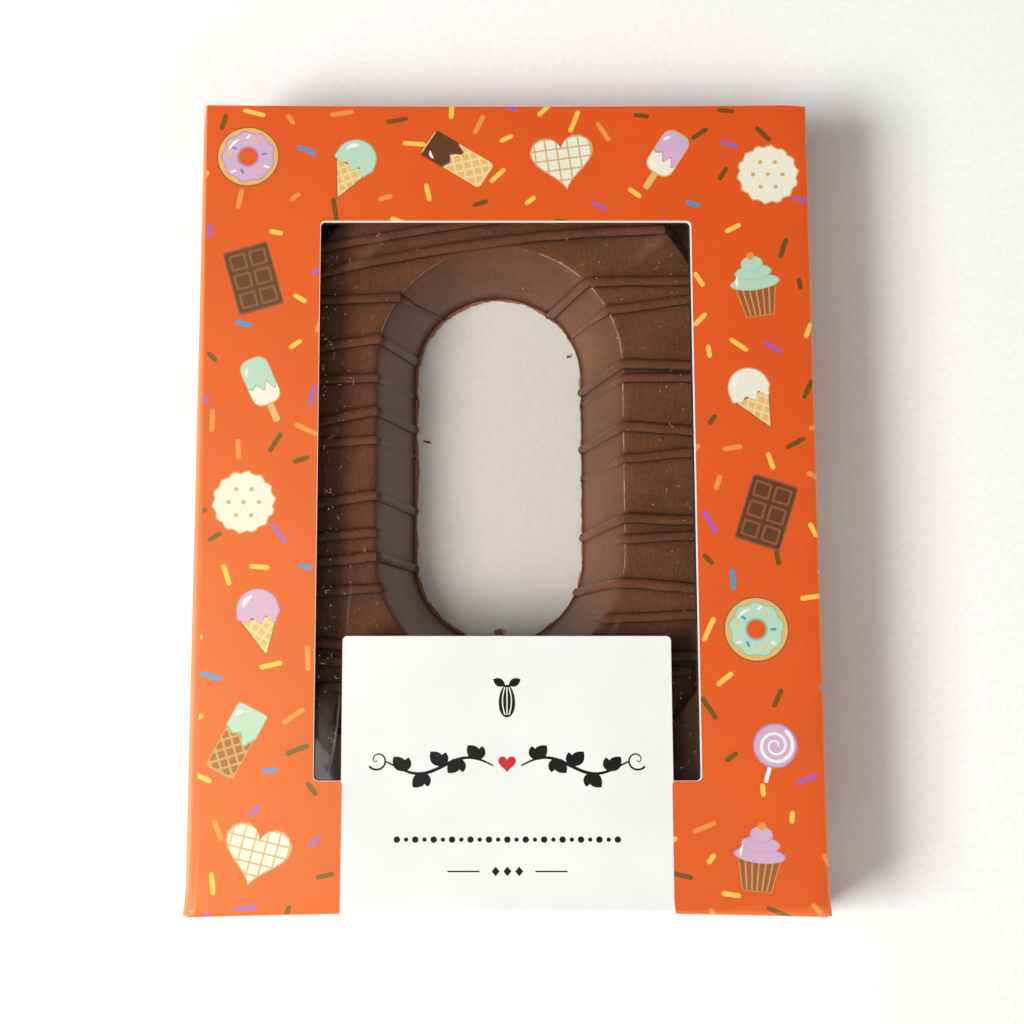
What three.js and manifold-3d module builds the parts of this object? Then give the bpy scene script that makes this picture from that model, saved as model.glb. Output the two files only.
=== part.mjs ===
// A moulded chocolate letter O in its shut carton, which lies on its back with the window up.
// Millimetres, +Z up, +X to the right of the front panel, +Y towards its top edge.
// The origin is under the middle of the carton, on the surface that it lies on.

import * as THREE from 'three';
import { mergeVertices } from 'three/addons/utils/BufferGeometryUtils.js';
import Module from 'manifold-3d';

const wasm = await Module();
wasm.setup();

// Driving dimensions, in millimetres

// The clear gap between pieces that touch
const FIT_GAP = 0.2;

// The folded carton. The front panel's long edges are pressed in a little between their corners,
// and the bottom corners flare out where the closing flap is folded over the side panels.
const CARTON = {
  width: 120,
  height: 158.4,
  depth: 18,
  card: 0.5,
  creaseRadius: 0.45,
  topSag: 0.35,
  bottomSag: 0.9,
  earWidth: 0.5,
  earHeight: 2.4,
};

// The window, and the label tongue that stands up in it from the panel's bottom border.
// Places are from the middle of the carton.
const WINDOW = {
  width: 72.8,
  bottom: -54,
  top: 55,
  cornerRadius: 0.9,
};
const TONGUE = {
  width: 62.4,
  top: -26.8,
  cornerRadius: 0.9,
};

// The clear film glued behind the window
const FILM = {
  overlap: 6,
  thickness: 0.2,
};

// The letter: straight sides and round ends. Each radius is measured from the line down the middle.
const LETTER = {
  centreX: -1.2,
  centreY: 8.6,
  straight: 37,
  rimRadius: 16.9,
  innerRidge: 24.4,
  outerRidge: 43.3,
  footRadius: 47,
  thickness: 12,
  lip: 0.8,
  ridgeRounding: 0.45,
  arcSteps: 30,
};

// The dark card frame that keeps the letter in its place
const INSERT = {
  thickness: 1,
  cutoutGap: 0.6,
  edgeGap: 0.4,
  arcSteps: 24,
};

// The raised strands of drizzle. Heights are places along Y from the middle of the carton.
// On the slope down to the hole a thin strand lies lower, by slopeSink.
const THICK_STRAND = { radius: 0.86, slopeSink: 0, sides: 8 };
const THIN_STRAND = { radius: 0.76, slopeSink: 0.4, sides: 6 };
const NUB = { radius: 0.9, rimInset: 0.5, turns: 10, rings: 6 };
const STRAND = {
  // Where the two outer heights below are read, left and right of the middle
  readingX: 36,
  footInset: 1,
  stepLength: 3,
  sink: 0.12,
  slopeRun: 2.5,
  fadeLength: 2,
  fadeSink: 1.1,
};

// Strands that run from the foot over the face, at heights outer and ridge, and down to the hole at rim.
// A strand with no rim fades out on the bevel just inside the ridge.
const SIDE_STRANDS = [
  { side: -1, outer: 40.4, ridge: 41.1, rim: 39.9, kind: THIN_STRAND },
  { side: -1, outer: 30.9, ridge: 32.7, rim: 30.5, kind: THICK_STRAND },
  { side: -1, outer: 24.2, ridge: 24.8, rim: 23.2, kind: THIN_STRAND },
  { side: -1, outer: 15.8, ridge: 18.2, rim: 16.5, kind: THICK_STRAND },
  { side: -1, outer: 11.6, ridge: 12.2, rim: 10.9, kind: THIN_STRAND },
  { side: -1, outer: -0.4, ridge: 1.4, rim: -0.3, kind: THICK_STRAND },
  { side: -1, outer: -7.1, ridge: -6.1, rim: null, kind: THIN_STRAND },
  { side: -1, outer: -12, ridge: -10.8, rim: -11.9, kind: THICK_STRAND },
  { side: -1, outer: -17.8, ridge: -17.1, rim: null, kind: THIN_STRAND },
  { side: 1, outer: 44.6, ridge: 44.2, rim: 40.5, kind: THICK_STRAND },
  { side: 1, outer: 40.5, ridge: 38.4, rim: 35.9, kind: THIN_STRAND },
  { side: 1, outer: 27.2, ridge: 27.6, rim: 24.2, kind: THICK_STRAND },
  { side: 1, outer: 24.8, ridge: 24.6, rim: 21.5, kind: THIN_STRAND },
  { side: 1, outer: 14.1, ridge: 15.1, rim: 12.4, kind: THICK_STRAND },
  { side: 1, outer: 9.7, ridge: 8.5, rim: 6.2, kind: THIN_STRAND },
  { side: 1, outer: -3.8, ridge: -3.2, rim: -5.6, kind: THICK_STRAND },
  { side: 1, outer: -6.7, ridge: -7.5, rim: null, kind: THIN_STRAND },
  { side: 1, outer: -17.1, ridge: -15.9, rim: -16.7, kind: THICK_STRAND },
  { side: 1, outer: -22.3, ridge: -23.1, rim: null, kind: THIN_STRAND },
];

// Strands that cross the letter's two ends from side to side, bowed up by arch in the middle
const CROSS_STRANDS = [
  { left: 62.5, right: 70.5, arch: 0.8, kind: THIN_STRAND },
  { left: 57, right: 66.5, arch: 1.2, kind: THICK_STRAND },
  { left: 51.4, right: 61.5, arch: 1, kind: THIN_STRAND },
  { left: 46.2, right: 55, arch: 2.2, kind: THICK_STRAND },
  { left: -27.7, right: -30.2, arch: -0.8, kind: THICK_STRAND },
  { left: -31, right: -33.1, arch: -0.6, kind: THIN_STRAND },
  { left: -36.2, right: -39.5, arch: 0.6, kind: THICK_STRAND },
  { left: -43, right: -43.6, arch: -0.5, kind: THIN_STRAND },
  { left: -48, right: -50, arch: 0.5, kind: THICK_STRAND },
];

const FINISHES = {
  printedCard: { color: 0xe65c24, roughness: 0.5 },
  clearFilm: { color: 0xf4f6f6, roughness: 0.08, transparent: true, opacity: 0.2 },
  darkCard: { color: 0x33221c, roughness: 0.8 },
  milkChocolate: { color: 0x5e3a26, roughness: 0.38 },
};

// Derived places

const HALF_STRAIGHT = LETTER.straight / 2;
const CONTENTS_FLOOR = CARTON.card + FIT_GAP;
const FILM_TOP = CARTON.depth - CARTON.card - FIT_GAP;

// Solid and mesh helpers

function solidOf(geometry) {
  const bare = geometry.clone();
  bare.deleteAttribute('normal');
  bare.deleteAttribute('uv');
  const merged = mergeVertices(bare, 1e-4);
  return new wasm.Manifold(new wasm.Mesh({
    numProp: 3,
    vertProperties: new Float32Array(merged.attributes.position.array),
    triVerts: new Uint32Array(merged.index.array),
  }));
}

function geometryOf(solid) {
  const mesh = solid.getMesh();
  const geometry = new THREE.BufferGeometry();
  geometry.setAttribute('position', new THREE.BufferAttribute(new Float32Array(mesh.vertProperties), 3));
  geometry.setIndex(new THREE.BufferAttribute(new Uint32Array(mesh.triVerts), 1));
  geometry.computeVertexNormals();
  return geometry;
}

function namedMesh(name, geometry, finish) {
  const mesh = new THREE.Mesh(geometry, new THREE.MeshStandardMaterial({ metalness: 0, ...finish }));
  mesh.name = name;
  return mesh;
}

function plate(shape, thickness, curveSegments = 12) {
  return new THREE.ExtrudeGeometry(shape, { depth: thickness, bevelEnabled: false, curveSegments });
}

// The carton

// The carton's plan outline, set in from its outer face by inset
function cartonOutline(inset, edgeSteps = 12) {
  const halfWidth = CARTON.width / 2 - inset;
  const halfHeight = CARTON.height / 2 - inset;
  const earHalf = halfWidth + CARTON.earWidth;
  const points = [];
  for (let step = 0; step <= edgeSteps; step += 1) {
    const across = -1 + (2 * step) / edgeSteps;
    points.push(new THREE.Vector2(across * earHalf, -halfHeight + CARTON.bottomSag * (1 - across * across)));
  }
  points.push(new THREE.Vector2(halfWidth, -halfHeight + CARTON.earHeight));
  for (let step = 0; step <= edgeSteps; step += 1) {
    const across = 1 - (2 * step) / edgeSteps;
    points.push(new THREE.Vector2(across * halfWidth, halfHeight - CARTON.topSag * (1 - across * across)));
  }
  points.push(new THREE.Vector2(-halfWidth, -halfHeight + CARTON.earHeight));
  return new THREE.Shape(points);
}

// The window's outline: a rectangle with the label tongue standing in its bottom edge
function windowOutline() {
  const side = WINDOW.width / 2;
  const tongueSide = TONGUE.width / 2;
  const corner = WINDOW.cornerRadius;
  const tongueCorner = TONGUE.cornerRadius;
  const shape = new THREE.Shape();
  shape.moveTo(-side + corner, WINDOW.bottom);
  shape.lineTo(-tongueSide, WINDOW.bottom);
  shape.lineTo(-tongueSide, TONGUE.top - tongueCorner);
  shape.absarc(-tongueSide + tongueCorner, TONGUE.top - tongueCorner, tongueCorner, Math.PI, Math.PI / 2, true);
  shape.absarc(tongueSide - tongueCorner, TONGUE.top - tongueCorner, tongueCorner, Math.PI / 2, 0, true);
  shape.lineTo(tongueSide, WINDOW.bottom);
  shape.lineTo(side - corner, WINDOW.bottom);
  shape.absarc(side - corner, WINDOW.bottom + corner, corner, -Math.PI / 2, 0, false);
  shape.absarc(side - corner, WINDOW.top - corner, corner, 0, Math.PI / 2, false);
  shape.absarc(-side + corner, WINDOW.top - corner, corner, Math.PI / 2, Math.PI, false);
  shape.absarc(-side + corner, WINDOW.bottom + corner, corner, Math.PI, 1.5 * Math.PI, false);
  return shape;
}

// One folded card: six walls with soft creases, hollow inside, and the window cut in the front panel
function cartonGeometry() {
  const crease = CARTON.creaseRadius;
  const outer = new THREE.ExtrudeGeometry(cartonOutline(0), {
    depth: CARTON.depth - 2 * crease,
    bevelEnabled: true,
    bevelThickness: crease,
    bevelSize: crease,
    bevelOffset: -crease,
    bevelSegments: 2,
  });
  outer.translate(0, 0, crease);
  const inner = plate(cartonOutline(CARTON.card), CARTON.depth - 2 * CARTON.card);
  inner.translate(0, 0, CARTON.card);
  const cutDepth = 4 * CARTON.card;
  const cut = plate(windowOutline(), cutDepth, 4);
  cut.translate(0, 0, CARTON.depth - cutDepth / 2);
  return geometryOf(solidOf(outer).subtract(solidOf(inner)).subtract(solidOf(cut)));
}

// The window film: a thin sheet, wider than the window all round
function filmGeometry() {
  const halfWidth = WINDOW.width / 2 + FILM.overlap;
  const low = WINDOW.bottom - FILM.overlap;
  const high = WINDOW.top + FILM.overlap;
  const shape = new THREE.Shape([
    new THREE.Vector2(-halfWidth, low),
    new THREE.Vector2(halfWidth, low),
    new THREE.Vector2(halfWidth, high),
    new THREE.Vector2(-halfWidth, high),
  ]);
  const geometry = plate(shape, FILM.thickness);
  geometry.translate(0, 0, FILM_TOP - FILM.thickness);
  return geometry;
}

// The letter's outline and section

// The outline at one radius from the letter's middle line: a round end, a straight side, and so on round
function letterOutline(radius, arcSteps) {
  const points = [];
  for (const end of [1, -1]) {
    for (let step = 0; step <= arcSteps; step += 1) {
      const angle = (end > 0 ? 0 : Math.PI) + (Math.PI * step) / arcSteps;
      points.push(new THREE.Vector2(
        LETTER.centreX + radius * Math.cos(angle),
        LETTER.centreY + end * HALF_STRAIGHT + radius * Math.sin(angle),
      ));
    }
  }
  return points;
}

// How far a point in plan lies from the letter's middle line
function distanceFromMiddle(x, y) {
  const beyond = Math.max(Math.abs(y - LETTER.centreY) - HALF_STRAIGHT, 0);
  return Math.hypot(x - LETTER.centreX, beyond);
}

// The height of the letter's top surface over its back, at a distance from the middle line
function surfaceHeight(distance) {
  const { rimRadius, innerRidge, outerRidge, footRadius, thickness, lip } = LETTER;
  if (distance < innerRidge) {
    return THREE.MathUtils.mapLinear(Math.max(distance, rimRadius), rimRadius, innerRidge, lip, thickness);
  }
  if (distance > outerRidge) {
    return THREE.MathUtils.mapLinear(Math.min(distance, footRadius), outerRidge, footRadius, thickness, lip);
  }
  return thickness;
}

// The section across one stroke, as radius and height, run round from the hole's foot
function strokeSection() {
  const { rimRadius, innerRidge, outerRidge, footRadius, thickness, lip, ridgeRounding } = LETTER;
  const section = [
    [rimRadius, 0],
    [rimRadius, lip],
  ];
  for (const radius of [innerRidge - 2 * ridgeRounding, innerRidge - ridgeRounding]) {
    section.push([radius, surfaceHeight(radius)]);
  }
  section.push([innerRidge + ridgeRounding / 2, thickness]);
  section.push([outerRidge - ridgeRounding / 2, thickness]);
  section.push([outerRidge + ridgeRounding / 2, surfaceHeight(outerRidge + ridgeRounding / 2)]);
  section.push([footRadius, lip]);
  section.push([footRadius, 0]);
  return section;
}

// The letter without its strands: the section carried round the outline
function letterBody() {
  const section = strokeSection();
  const around = 2 * (LETTER.arcSteps + 1);
  const positions = [];
  for (const [radius, height] of section) {
    for (const point of letterOutline(radius, LETTER.arcSteps)) {
      positions.push(point.x, point.y, height);
    }
  }
  const index = [];
  for (let ring = 0; ring < section.length; ring += 1) {
    const next = (ring + 1) % section.length;
    for (let turn = 0; turn < around; turn += 1) {
      const beside = (turn + 1) % around;
      const a = ring * around + turn;
      const b = ring * around + beside;
      const c = next * around + beside;
      const d = next * around + turn;
      index.push(a, c, b, a, d, c);
    }
  }
  const geometry = new THREE.BufferGeometry();
  geometry.setAttribute('position', new THREE.Float32BufferAttribute(positions, 3));
  geometry.setIndex(index);
  return solidOf(geometry);
}

// The strands of drizzle

// A round rod laid along the letter's surface through points in plan
function strandRod(planPoints, kind, fades) {
  const points = [];
  for (let leg = 1; leg < planPoints.length; leg += 1) {
    const from = planPoints[leg - 1];
    const to = planPoints[leg];
    const steps = Math.max(1, Math.round(from.distanceTo(to) / STRAND.stepLength));
    for (let step = leg === 1 ? 0 : 1; step <= steps; step += 1) {
      const at = from.clone().lerp(to, step / steps);
      const distance = distanceFromMiddle(at.x, at.y);
      const down = THREE.MathUtils.clamp((LETTER.innerRidge - distance) / STRAND.slopeRun, 0, 1);
      const height = surfaceHeight(distance) - STRAND.sink - down * kind.slopeSink;
      points.push(new THREE.Vector3(at.x, at.y, height));
    }
  }
  if (fades) {
    points[points.length - 1].z -= STRAND.fadeSink;
  }
  const section = new THREE.Shape();
  for (let side = 0; side < kind.sides; side += 1) {
    const angle = (2 * Math.PI * side) / kind.sides;
    const corner = [kind.radius * Math.cos(angle), kind.radius * Math.sin(angle)];
    if (side === 0) {
      section.moveTo(...corner);
    } else {
      section.lineTo(...corner);
    }
  }
  const path = new THREE.CatmullRomCurve3(points);
  const rod = new THREE.ExtrudeGeometry(section, {
    steps: points.length - 1,
    extrudePath: path,
    bevelEnabled: false,
  });
  return solidOf(rod);
}

// The place where a strand meets the outline at one radius, on one side and at one height
function outlinePoint(radius, side, height) {
  const beyond = Math.max(Math.abs(height - LETTER.centreY) - HALF_STRAIGHT, 0);
  const reach = Math.sqrt(Math.max(radius * radius - beyond * beyond, 0));
  return new THREE.Vector2(LETTER.centreX + side * reach, height);
}

// Carries a line on past its first point until it comes to the letter's foot
function carriedToFoot(first, second) {
  const limit = LETTER.footRadius - STRAND.footInset;
  const direction = first.clone().sub(second).normalize();
  const at = first.clone();
  const fineStep = 0.1;
  const move = distanceFromMiddle(at.x, at.y) < limit ? fineStep : -fineStep;
  while ((distanceFromMiddle(at.x, at.y) < limit) === (move > 0)) {
    at.addScaledVector(direction, move);
  }
  return at;
}

function sideStrand({ side, outer, ridge, rim, kind }) {
  const ridgePoint = outlinePoint(LETTER.innerRidge, side, ridge);
  const readingPoint = new THREE.Vector2(side * STRAND.readingX, outer);
  const footPoint = carriedToFoot(readingPoint, ridgePoint);
  if (rim === null) {
    const fadePoint = outlinePoint(LETTER.innerRidge - STRAND.fadeLength, side, ridge);
    return [strandRod([footPoint, ridgePoint, fadePoint], kind, true)];
  }
  const rimPoint = outlinePoint(LETTER.rimRadius + NUB.rimInset, side, rim);
  const solids = [strandRod([footPoint, ridgePoint, rimPoint], kind, false)];
  if (kind === THICK_STRAND) {
    const nub = new THREE.SphereGeometry(NUB.radius, NUB.turns, NUB.rings);
    nub.translate(rimPoint.x, rimPoint.y, surfaceHeight(distanceFromMiddle(rimPoint.x, rimPoint.y)));
    solids.push(solidOf(nub));
  }
  return solids;
}

function crossStrand({ left, right, arch, kind }) {
  const legs = 8;
  const points = [];
  for (let step = 0; step <= legs; step += 1) {
    const across = -1 + (2 * step) / legs;
    const height = THREE.MathUtils.mapLinear(across, -1, 1, left, right) + arch * (1 - across * across);
    points.push(new THREE.Vector2(across * STRAND.readingX, height));
  }
  const limit = LETTER.footRadius - STRAND.footInset;
  const inside = points.filter((point) => distanceFromMiddle(point.x, point.y) < limit);
  const start = carriedToFoot(inside[0], inside[1]);
  const end = carriedToFoot(inside[inside.length - 1], inside[inside.length - 2]);
  return [strandRod([start, ...inside, end], kind, false)];
}

// The letter with its strands fused on, standing on the carton's back panel
function letterGeometry() {
  let solid = letterBody();
  const strands = [...SIDE_STRANDS.map(sideStrand), ...CROSS_STRANDS.map(crossStrand)].flat();
  for (const strand of strands) {
    solid = solid.add(strand);
  }
  const geometry = geometryOf(solid);
  geometry.translate(0, 0, CONTENTS_FLOOR);
  return geometry;
}

// The insert: a sheet of card that fills the carton's floor, cut out round the letter's foot
function insertGeometry() {
  const outline = cartonOutline(CARTON.card + INSERT.edgeGap);
  const cutout = letterOutline(LETTER.footRadius + INSERT.cutoutGap, INSERT.arcSteps);
  outline.holes.push(new THREE.Path(cutout));
  const geometry = plate(outline, INSERT.thickness);
  geometry.translate(0, 0, CONTENTS_FLOOR);
  return geometry;
}

const pack = new THREE.Group();
pack.add(namedMesh('carton', cartonGeometry(), FINISHES.printedCard));
pack.add(namedMesh('window_film', filmGeometry(), FINISHES.clearFilm));
pack.add(namedMesh('insert', insertGeometry(), FINISHES.darkCard));
pack.add(namedMesh('letter', letterGeometry(), FINISHES.milkChocolate));

export default pack;
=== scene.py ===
"""Looks of a moulded chocolate letter in its windowed carton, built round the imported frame.

The carton is one folded sheet of card with its print laid into it, the letter is one moulded
piece with its strands of drizzle, and a clear film, a brown card insert, crumbs and shavings go
with them. The frame is in metres, +Z up, and the sizes in this script are in millimetres unless
their comments say otherwise.
"""

import math
import random

import bmesh
import bpy
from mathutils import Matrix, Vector, noise
from mathutils.geometry import delaunay_2d_cdt


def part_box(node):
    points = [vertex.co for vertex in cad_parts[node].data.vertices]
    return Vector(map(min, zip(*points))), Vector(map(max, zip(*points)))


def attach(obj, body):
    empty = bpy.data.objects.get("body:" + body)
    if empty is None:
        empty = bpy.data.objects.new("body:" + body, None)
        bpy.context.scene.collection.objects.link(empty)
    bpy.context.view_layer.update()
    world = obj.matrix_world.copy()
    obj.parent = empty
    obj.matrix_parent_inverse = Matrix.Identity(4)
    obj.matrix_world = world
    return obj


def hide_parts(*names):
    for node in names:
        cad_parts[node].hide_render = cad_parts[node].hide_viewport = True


bl_info = {
    "name": "Chocolate letter in a carton",
    "version": (1, 0, 0),
    "blender": (4, 5, 0),
    "location": "View3D > Sidebar > Chocolate",
    "description": "Builds the carton, its film, the insert and the moulded chocolate letter",
    "category": "Add Mesh",
}

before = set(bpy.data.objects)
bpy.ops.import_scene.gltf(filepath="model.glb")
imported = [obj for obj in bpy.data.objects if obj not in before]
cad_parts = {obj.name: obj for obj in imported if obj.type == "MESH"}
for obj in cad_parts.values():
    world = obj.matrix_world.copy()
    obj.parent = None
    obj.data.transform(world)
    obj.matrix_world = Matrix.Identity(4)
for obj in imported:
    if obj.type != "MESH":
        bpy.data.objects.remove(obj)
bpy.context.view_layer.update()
MM = 0.001


def box_mm(node):
    """The lowest and highest corner of a node of the frame, in millimetres"""
    low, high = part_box(node)
    return low / MM, high / MM


_, CARTON_HIGH = box_mm("carton")
FILM_LOW, FILM_HIGH = box_mm("window_film")
INSERT_LOW, INSERT_HIGH = box_mm("insert")
LETTER_LOW, LETTER_HIGH = box_mm("letter")

# The photograph's camera, which looks down on the pack from just under its middle: its place in
# metres, its tilt in degrees, its lens and sensor in millimetres and its shift in frame widths
CAMERA_PLACE = (-0.00698, -0.0571, 0.35966)
CAMERA_TILT = 9.01
CAMERA_LENS = 63.28
CAMERA_SENSOR = 36.0
FRAME_PIXELS = 1024
CAMERA_SHIFT = 42 / FRAME_PIXELS


# Settings that a user would change

def length(name, description, default_mm, smallest_mm=0.0):
    """A length property whose default is given in millimetres"""
    return bpy.props.FloatProperty(
        name=name,
        description=description,
        default=default_mm * MM,
        min=smallest_mm * MM,
        unit="LENGTH",
        subtype="DISTANCE",
        precision=5,
    )


def linear(hex_code):
    """Turns an sRGB hex colour into linear red, green, blue and alpha"""
    channels = [int(hex_code[place:place + 2], 16) / 255 for place in (1, 3, 5)]
    spread = [c / 12.92 if c <= 0.04045 else ((c + 0.055) / 1.055) ** 2.4 for c in channels]
    return (*spread, 1.0)


def colour(name, description, hex_code):
    """A colour property whose default is an sRGB hex value"""
    return bpy.props.FloatVectorProperty(
        name=name,
        description=description,
        default=linear(hex_code),
        size=4,
        min=0.0,
        max=1.0,
        subtype="COLOR",
    )


def strength(name, description, default):
    """A number property for the strength of a light"""
    return bpy.props.FloatProperty(name=name, description=description, default=default)


class CartonSettings(bpy.types.PropertyGroup):
    card: length("Card", "Thickness of the folding card", 0.5)
    crease_radius: length("Crease radius", "Outer radius of a folded crease", 0.7)
    ear: length("Ear", "How far the bottom corners flare out", 0.5)
    top_sag: length("Top sag", "How far the top edge bows in at its middle", 0.35)
    bottom_sag: length("Bottom sag", "How far the bottom edge bows in at its middle", 0.9)
    window_width: length("Window width", "Width of the window in the front panel", 72.8)
    window_top: length("Window top", "Height of the window's top edge over the middle", 55)
    window_bottom: length("Window bottom", "Depth of the window's bottom edge under the middle", 54)
    tongue_width: length("Label width", "Width of the white label in the window", 62.4)
    tongue_top: length("Label top", "Depth of the label's top edge under the middle", 26.8)
    corner_radius: length("Corner radius", "Radius of the window's and label's corners", 0.9)


class PrintSettings(bpy.types.PropertyGroup):
    motif: length("Motif size", "Size of one printed sweet", 13)
    sprinkle_width: length("Sprinkle width", "Width of a printed sprinkle", 0.95)
    sprinkle_gap: length("Sprinkle gap", "Least distance between sprinkles", 5.9)
    seed: bpy.props.IntProperty(name="Seed", description="Seed of the print's layout", default=11)
    orange: colour("Orange", "Ground of the print", "#ED5214")


class LetterSettings(bpy.types.PropertyGroup):
    rim_radius: length("Rim radius", "Half the width of the letter's hole", 16.9)
    inner_ridge: length("Inner ridge", "Where the inner slope meets the face", 24.4)
    outer_ridge: length("Outer ridge", "Where the outer slope meets the face", 43.3)
    thickness: length("Thickness", "Height of the letter's face over its back", 12)
    lip: length("Lip", "Height of the upright edge at the foot of the slopes", 0.8)
    thick_strand: length("Thick strand", "Half the width of a thick strand of drizzle", 1.0)
    thin_strand: length("Thin strand", "Half the width of a thin strand of drizzle", 0.92)
    insert_gap: length("Insert gap", "Room between the letter's foot and the card round it", 0.35)
    chocolate: colour("Chocolate", "Milk chocolate", "#6E432B")


class FilmSettings(bpy.types.PropertyGroup):
    thickness: length("Thickness", "Thickness of the film", 0.06)
    ripple: length("Ripple", "Height of the film's soft ripples", 0.03)
    dip: length("Dip", "How far the film sinks in the window's left bottom corner", 0.1)
    specks: bpy.props.IntProperty(name="Specks", description="Number of specks and shavings", default=260)


class StageSettings(bpy.types.PropertyGroup):
    key: strength("Key light", "Power of the main softbox", 35.0)
    near: strength("Near light", "Power of the softbox overhead", 1.23)
    fill: strength("Fill light", "Power of the near right softbox", 0.9)
    side: strength("Side light", "Power of the low softbox at the right", 2.2)
    air: strength("Room light", "Strength of the room's light", 0.46)
    floor: colour("Floor", "Pale floor", "#FBFBFA")


SETTINGS = {
    "sweet_carton": CartonSettings,
    "sweet_print": PrintSettings,
    "sweet_letter": LetterSettings,
    "sweet_film": FilmSettings,
    "sweet_stage": StageSettings,
}


def setting(group, name):
    """A length setting of the scene, in millimetres"""
    return getattr(getattr(bpy.context.scene, "sweet_" + group), name) / MM


# Meshes

def mesh_piece(name, points_mm, faces, materials, finish_of_face=None, smooth_angle=None):
    """Makes a mesh object at the origin from points in millimetres"""
    mesh = bpy.data.meshes.new(name)
    mesh.from_pydata([Vector(point) * MM for point in points_mm], [], faces)
    for material in materials:
        mesh.materials.append(material)
    if finish_of_face:
        mesh.polygons.foreach_set("material_index", finish_of_face)
    if smooth_angle is not None:
        mesh.shade_smooth()
        mesh.set_sharp_from_angle(angle=math.radians(smooth_angle))
    mesh.validate()
    mesh.update()
    piece = bpy.data.objects.new(name, mesh)
    bpy.context.scene.collection.objects.link(piece)
    return piece


def dress(piece, node):
    """Puts a finished piece on the part's body, in the place of a node where it has one"""
    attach(piece, "root")
    if node:
        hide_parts(node)


def ring_faces(rings, count):
    """Quads between each ring of points and the next, where a ring closes on itself"""
    faces = []
    for ring, following in zip(rings, rings[1:]):
        for place in range(count):
            beside = (place + 1) % count
            faces.append((ring * count + place, ring * count + beside,
                          following * count + beside, following * count + place))
    return faces


def tube_faces(rings, sides):
    """The faces of a tube with a cap at each end"""
    faces = ring_faces(range(rings), sides)
    faces.append(tuple(range(sides - 1, -1, -1)))
    faces.append(tuple((rings - 1) * sides + side for side in range(sides)))
    return faces


def ring_pairs(ring):
    """Each item of a closed ring with the one after it"""
    return zip(ring, ring[1:] + ring[:1])


def neighbours(line, number):
    """The points before and after one of a line's points"""
    return line[max(0, number - 1)], line[min(len(line) - 1, number + 1)]


def clamped(value):
    """A value held between 0 and 1"""
    return max(0.0, min(1.0, value))


def wander(x, y, z):
    """A smooth random value about -1 to 1, the same each time for the same place"""
    return noise.noise(Vector((x, y, z)))


def shares(steps):
    """Even steps from 0 to 1, both included"""
    return [step / steps for step in range(steps + 1)]


def polar(reach, angle, u=0.0, v=0.0):
    """The place at a reach and an angle in radians from another place"""
    return u + reach * math.cos(angle), v + reach * math.sin(angle)


def turned(points, angle, u=0.0, v=0.0, size=1.0):
    """Points in plan, enlarged, turned by an angle in radians and moved to a place"""
    cos = math.cos(angle) * size
    sin = math.sin(angle) * size
    return [(u + a * cos - b * sin, v + a * sin + b * cos) for a, b in points]


# Materials

WHITE = linear("#FFFFFF")


def add_node(tree, kind, inputs=None, **settings):
    """Adds a shader node of a kind with its settings and its inputs.

    An input is a value, a socket or a whole node, which stands for its first output.
    """
    node = tree.nodes.new("ShaderNode" + kind)
    for key, value in settings.items():
        setattr(node, key, value)
    for socket, value in (inputs or {}).items():
        if isinstance(value, bpy.types.Node):
            value = value.outputs[0]
        if isinstance(value, bpy.types.NodeSocket):
            tree.links.new(value, node.inputs[socket])
        else:
            node.inputs[socket].default_value = value
    return node


def new_material(name):
    """A material, its empty tree and a socket with the place on the object, in metres"""
    material = bpy.data.materials.new(name)
    material.use_nodes = True
    tree = material.node_tree
    tree.nodes.clear()
    return material, tree, add_node(tree, "TexCoord").outputs["Object"]


def varied_colour(tree, place, ground, other, scale, detail=3.0):
    """A socket with a colour that wanders between two shades at a scale in waves to the metre"""
    cloud = add_node(tree, "TexNoise", {"Vector": place, "Scale": scale, "Detail": detail})
    spread = add_node(tree, "MapRange", {"Value": cloud, "From Min": 0.35, "From Max": 0.65})
    mixed = add_node(tree, "Mix", {0: spread, 6: ground, 7: other}, data_type="RGBA")
    return mixed.outputs[2]


def shaded(rgba, factor):
    """A colour made lighter or darker by a factor"""
    return (*[min(1.0, channel * factor) for channel in rgba[:3]], 1.0)


def printed_card_material(name, rgba, sheen, tint):
    """Offset print under a satin water varnish: an even ink with a soft broad sheen over fine fibres"""
    material, tree, place = new_material(name)
    # The ink's tone wanders over about 18 mm
    flat_ink = varied_colour(tree, place, shaded(rgba, 0.975), shaded(rgba, 1.03), scale=55)
    # Paper formation is about 0.5 mm across, and the sheet's own waviness about 25 mm
    fibre = add_node(tree, "TexNoise", {"Vector": place, "Scale": 1 / 0.0005, "Detail": 4.0})
    # The ink takes up unevenly over the fibres
    take_up = add_node(tree, "MapRange", {
        "Value": fibre, "From Min": 0.35, "From Max": 0.65,
        "To Min": 1 - 0.04 * sheen, "To Max": 1 + 0.04 * sheen})
    ink = add_node(tree, "HueSaturation", {"Color": flat_ink, "Value": take_up})
    wave = add_node(tree, "TexNoise", {"Vector": place, "Scale": 1 / 0.025, "Detail": 1.0})
    fine = add_node(tree, "Bump", {"Height": fibre, "Strength": 0.35, "Distance": 0.00002})
    bump = add_node(tree, "Bump", {"Height": wave, "Normal": fine, "Strength": 0.3, "Distance": 0.0004})
    rough = add_node(tree, "MapRange", {"Value": fibre, "To Min": 0.345, "To Max": 0.425})
    skin = add_node(tree, "BsdfPrincipled", {
        "Base Color": ink, "Roughness": rough, "IOR": 1.77,
        "Specular IOR Level": sheen, "Specular Tint": tint,
        "Normal": bump, "Coat Weight": sheen, "Coat Roughness": 0.38})
    add_node(tree, "OutputMaterial", {"Surface": skin})
    return material


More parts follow.
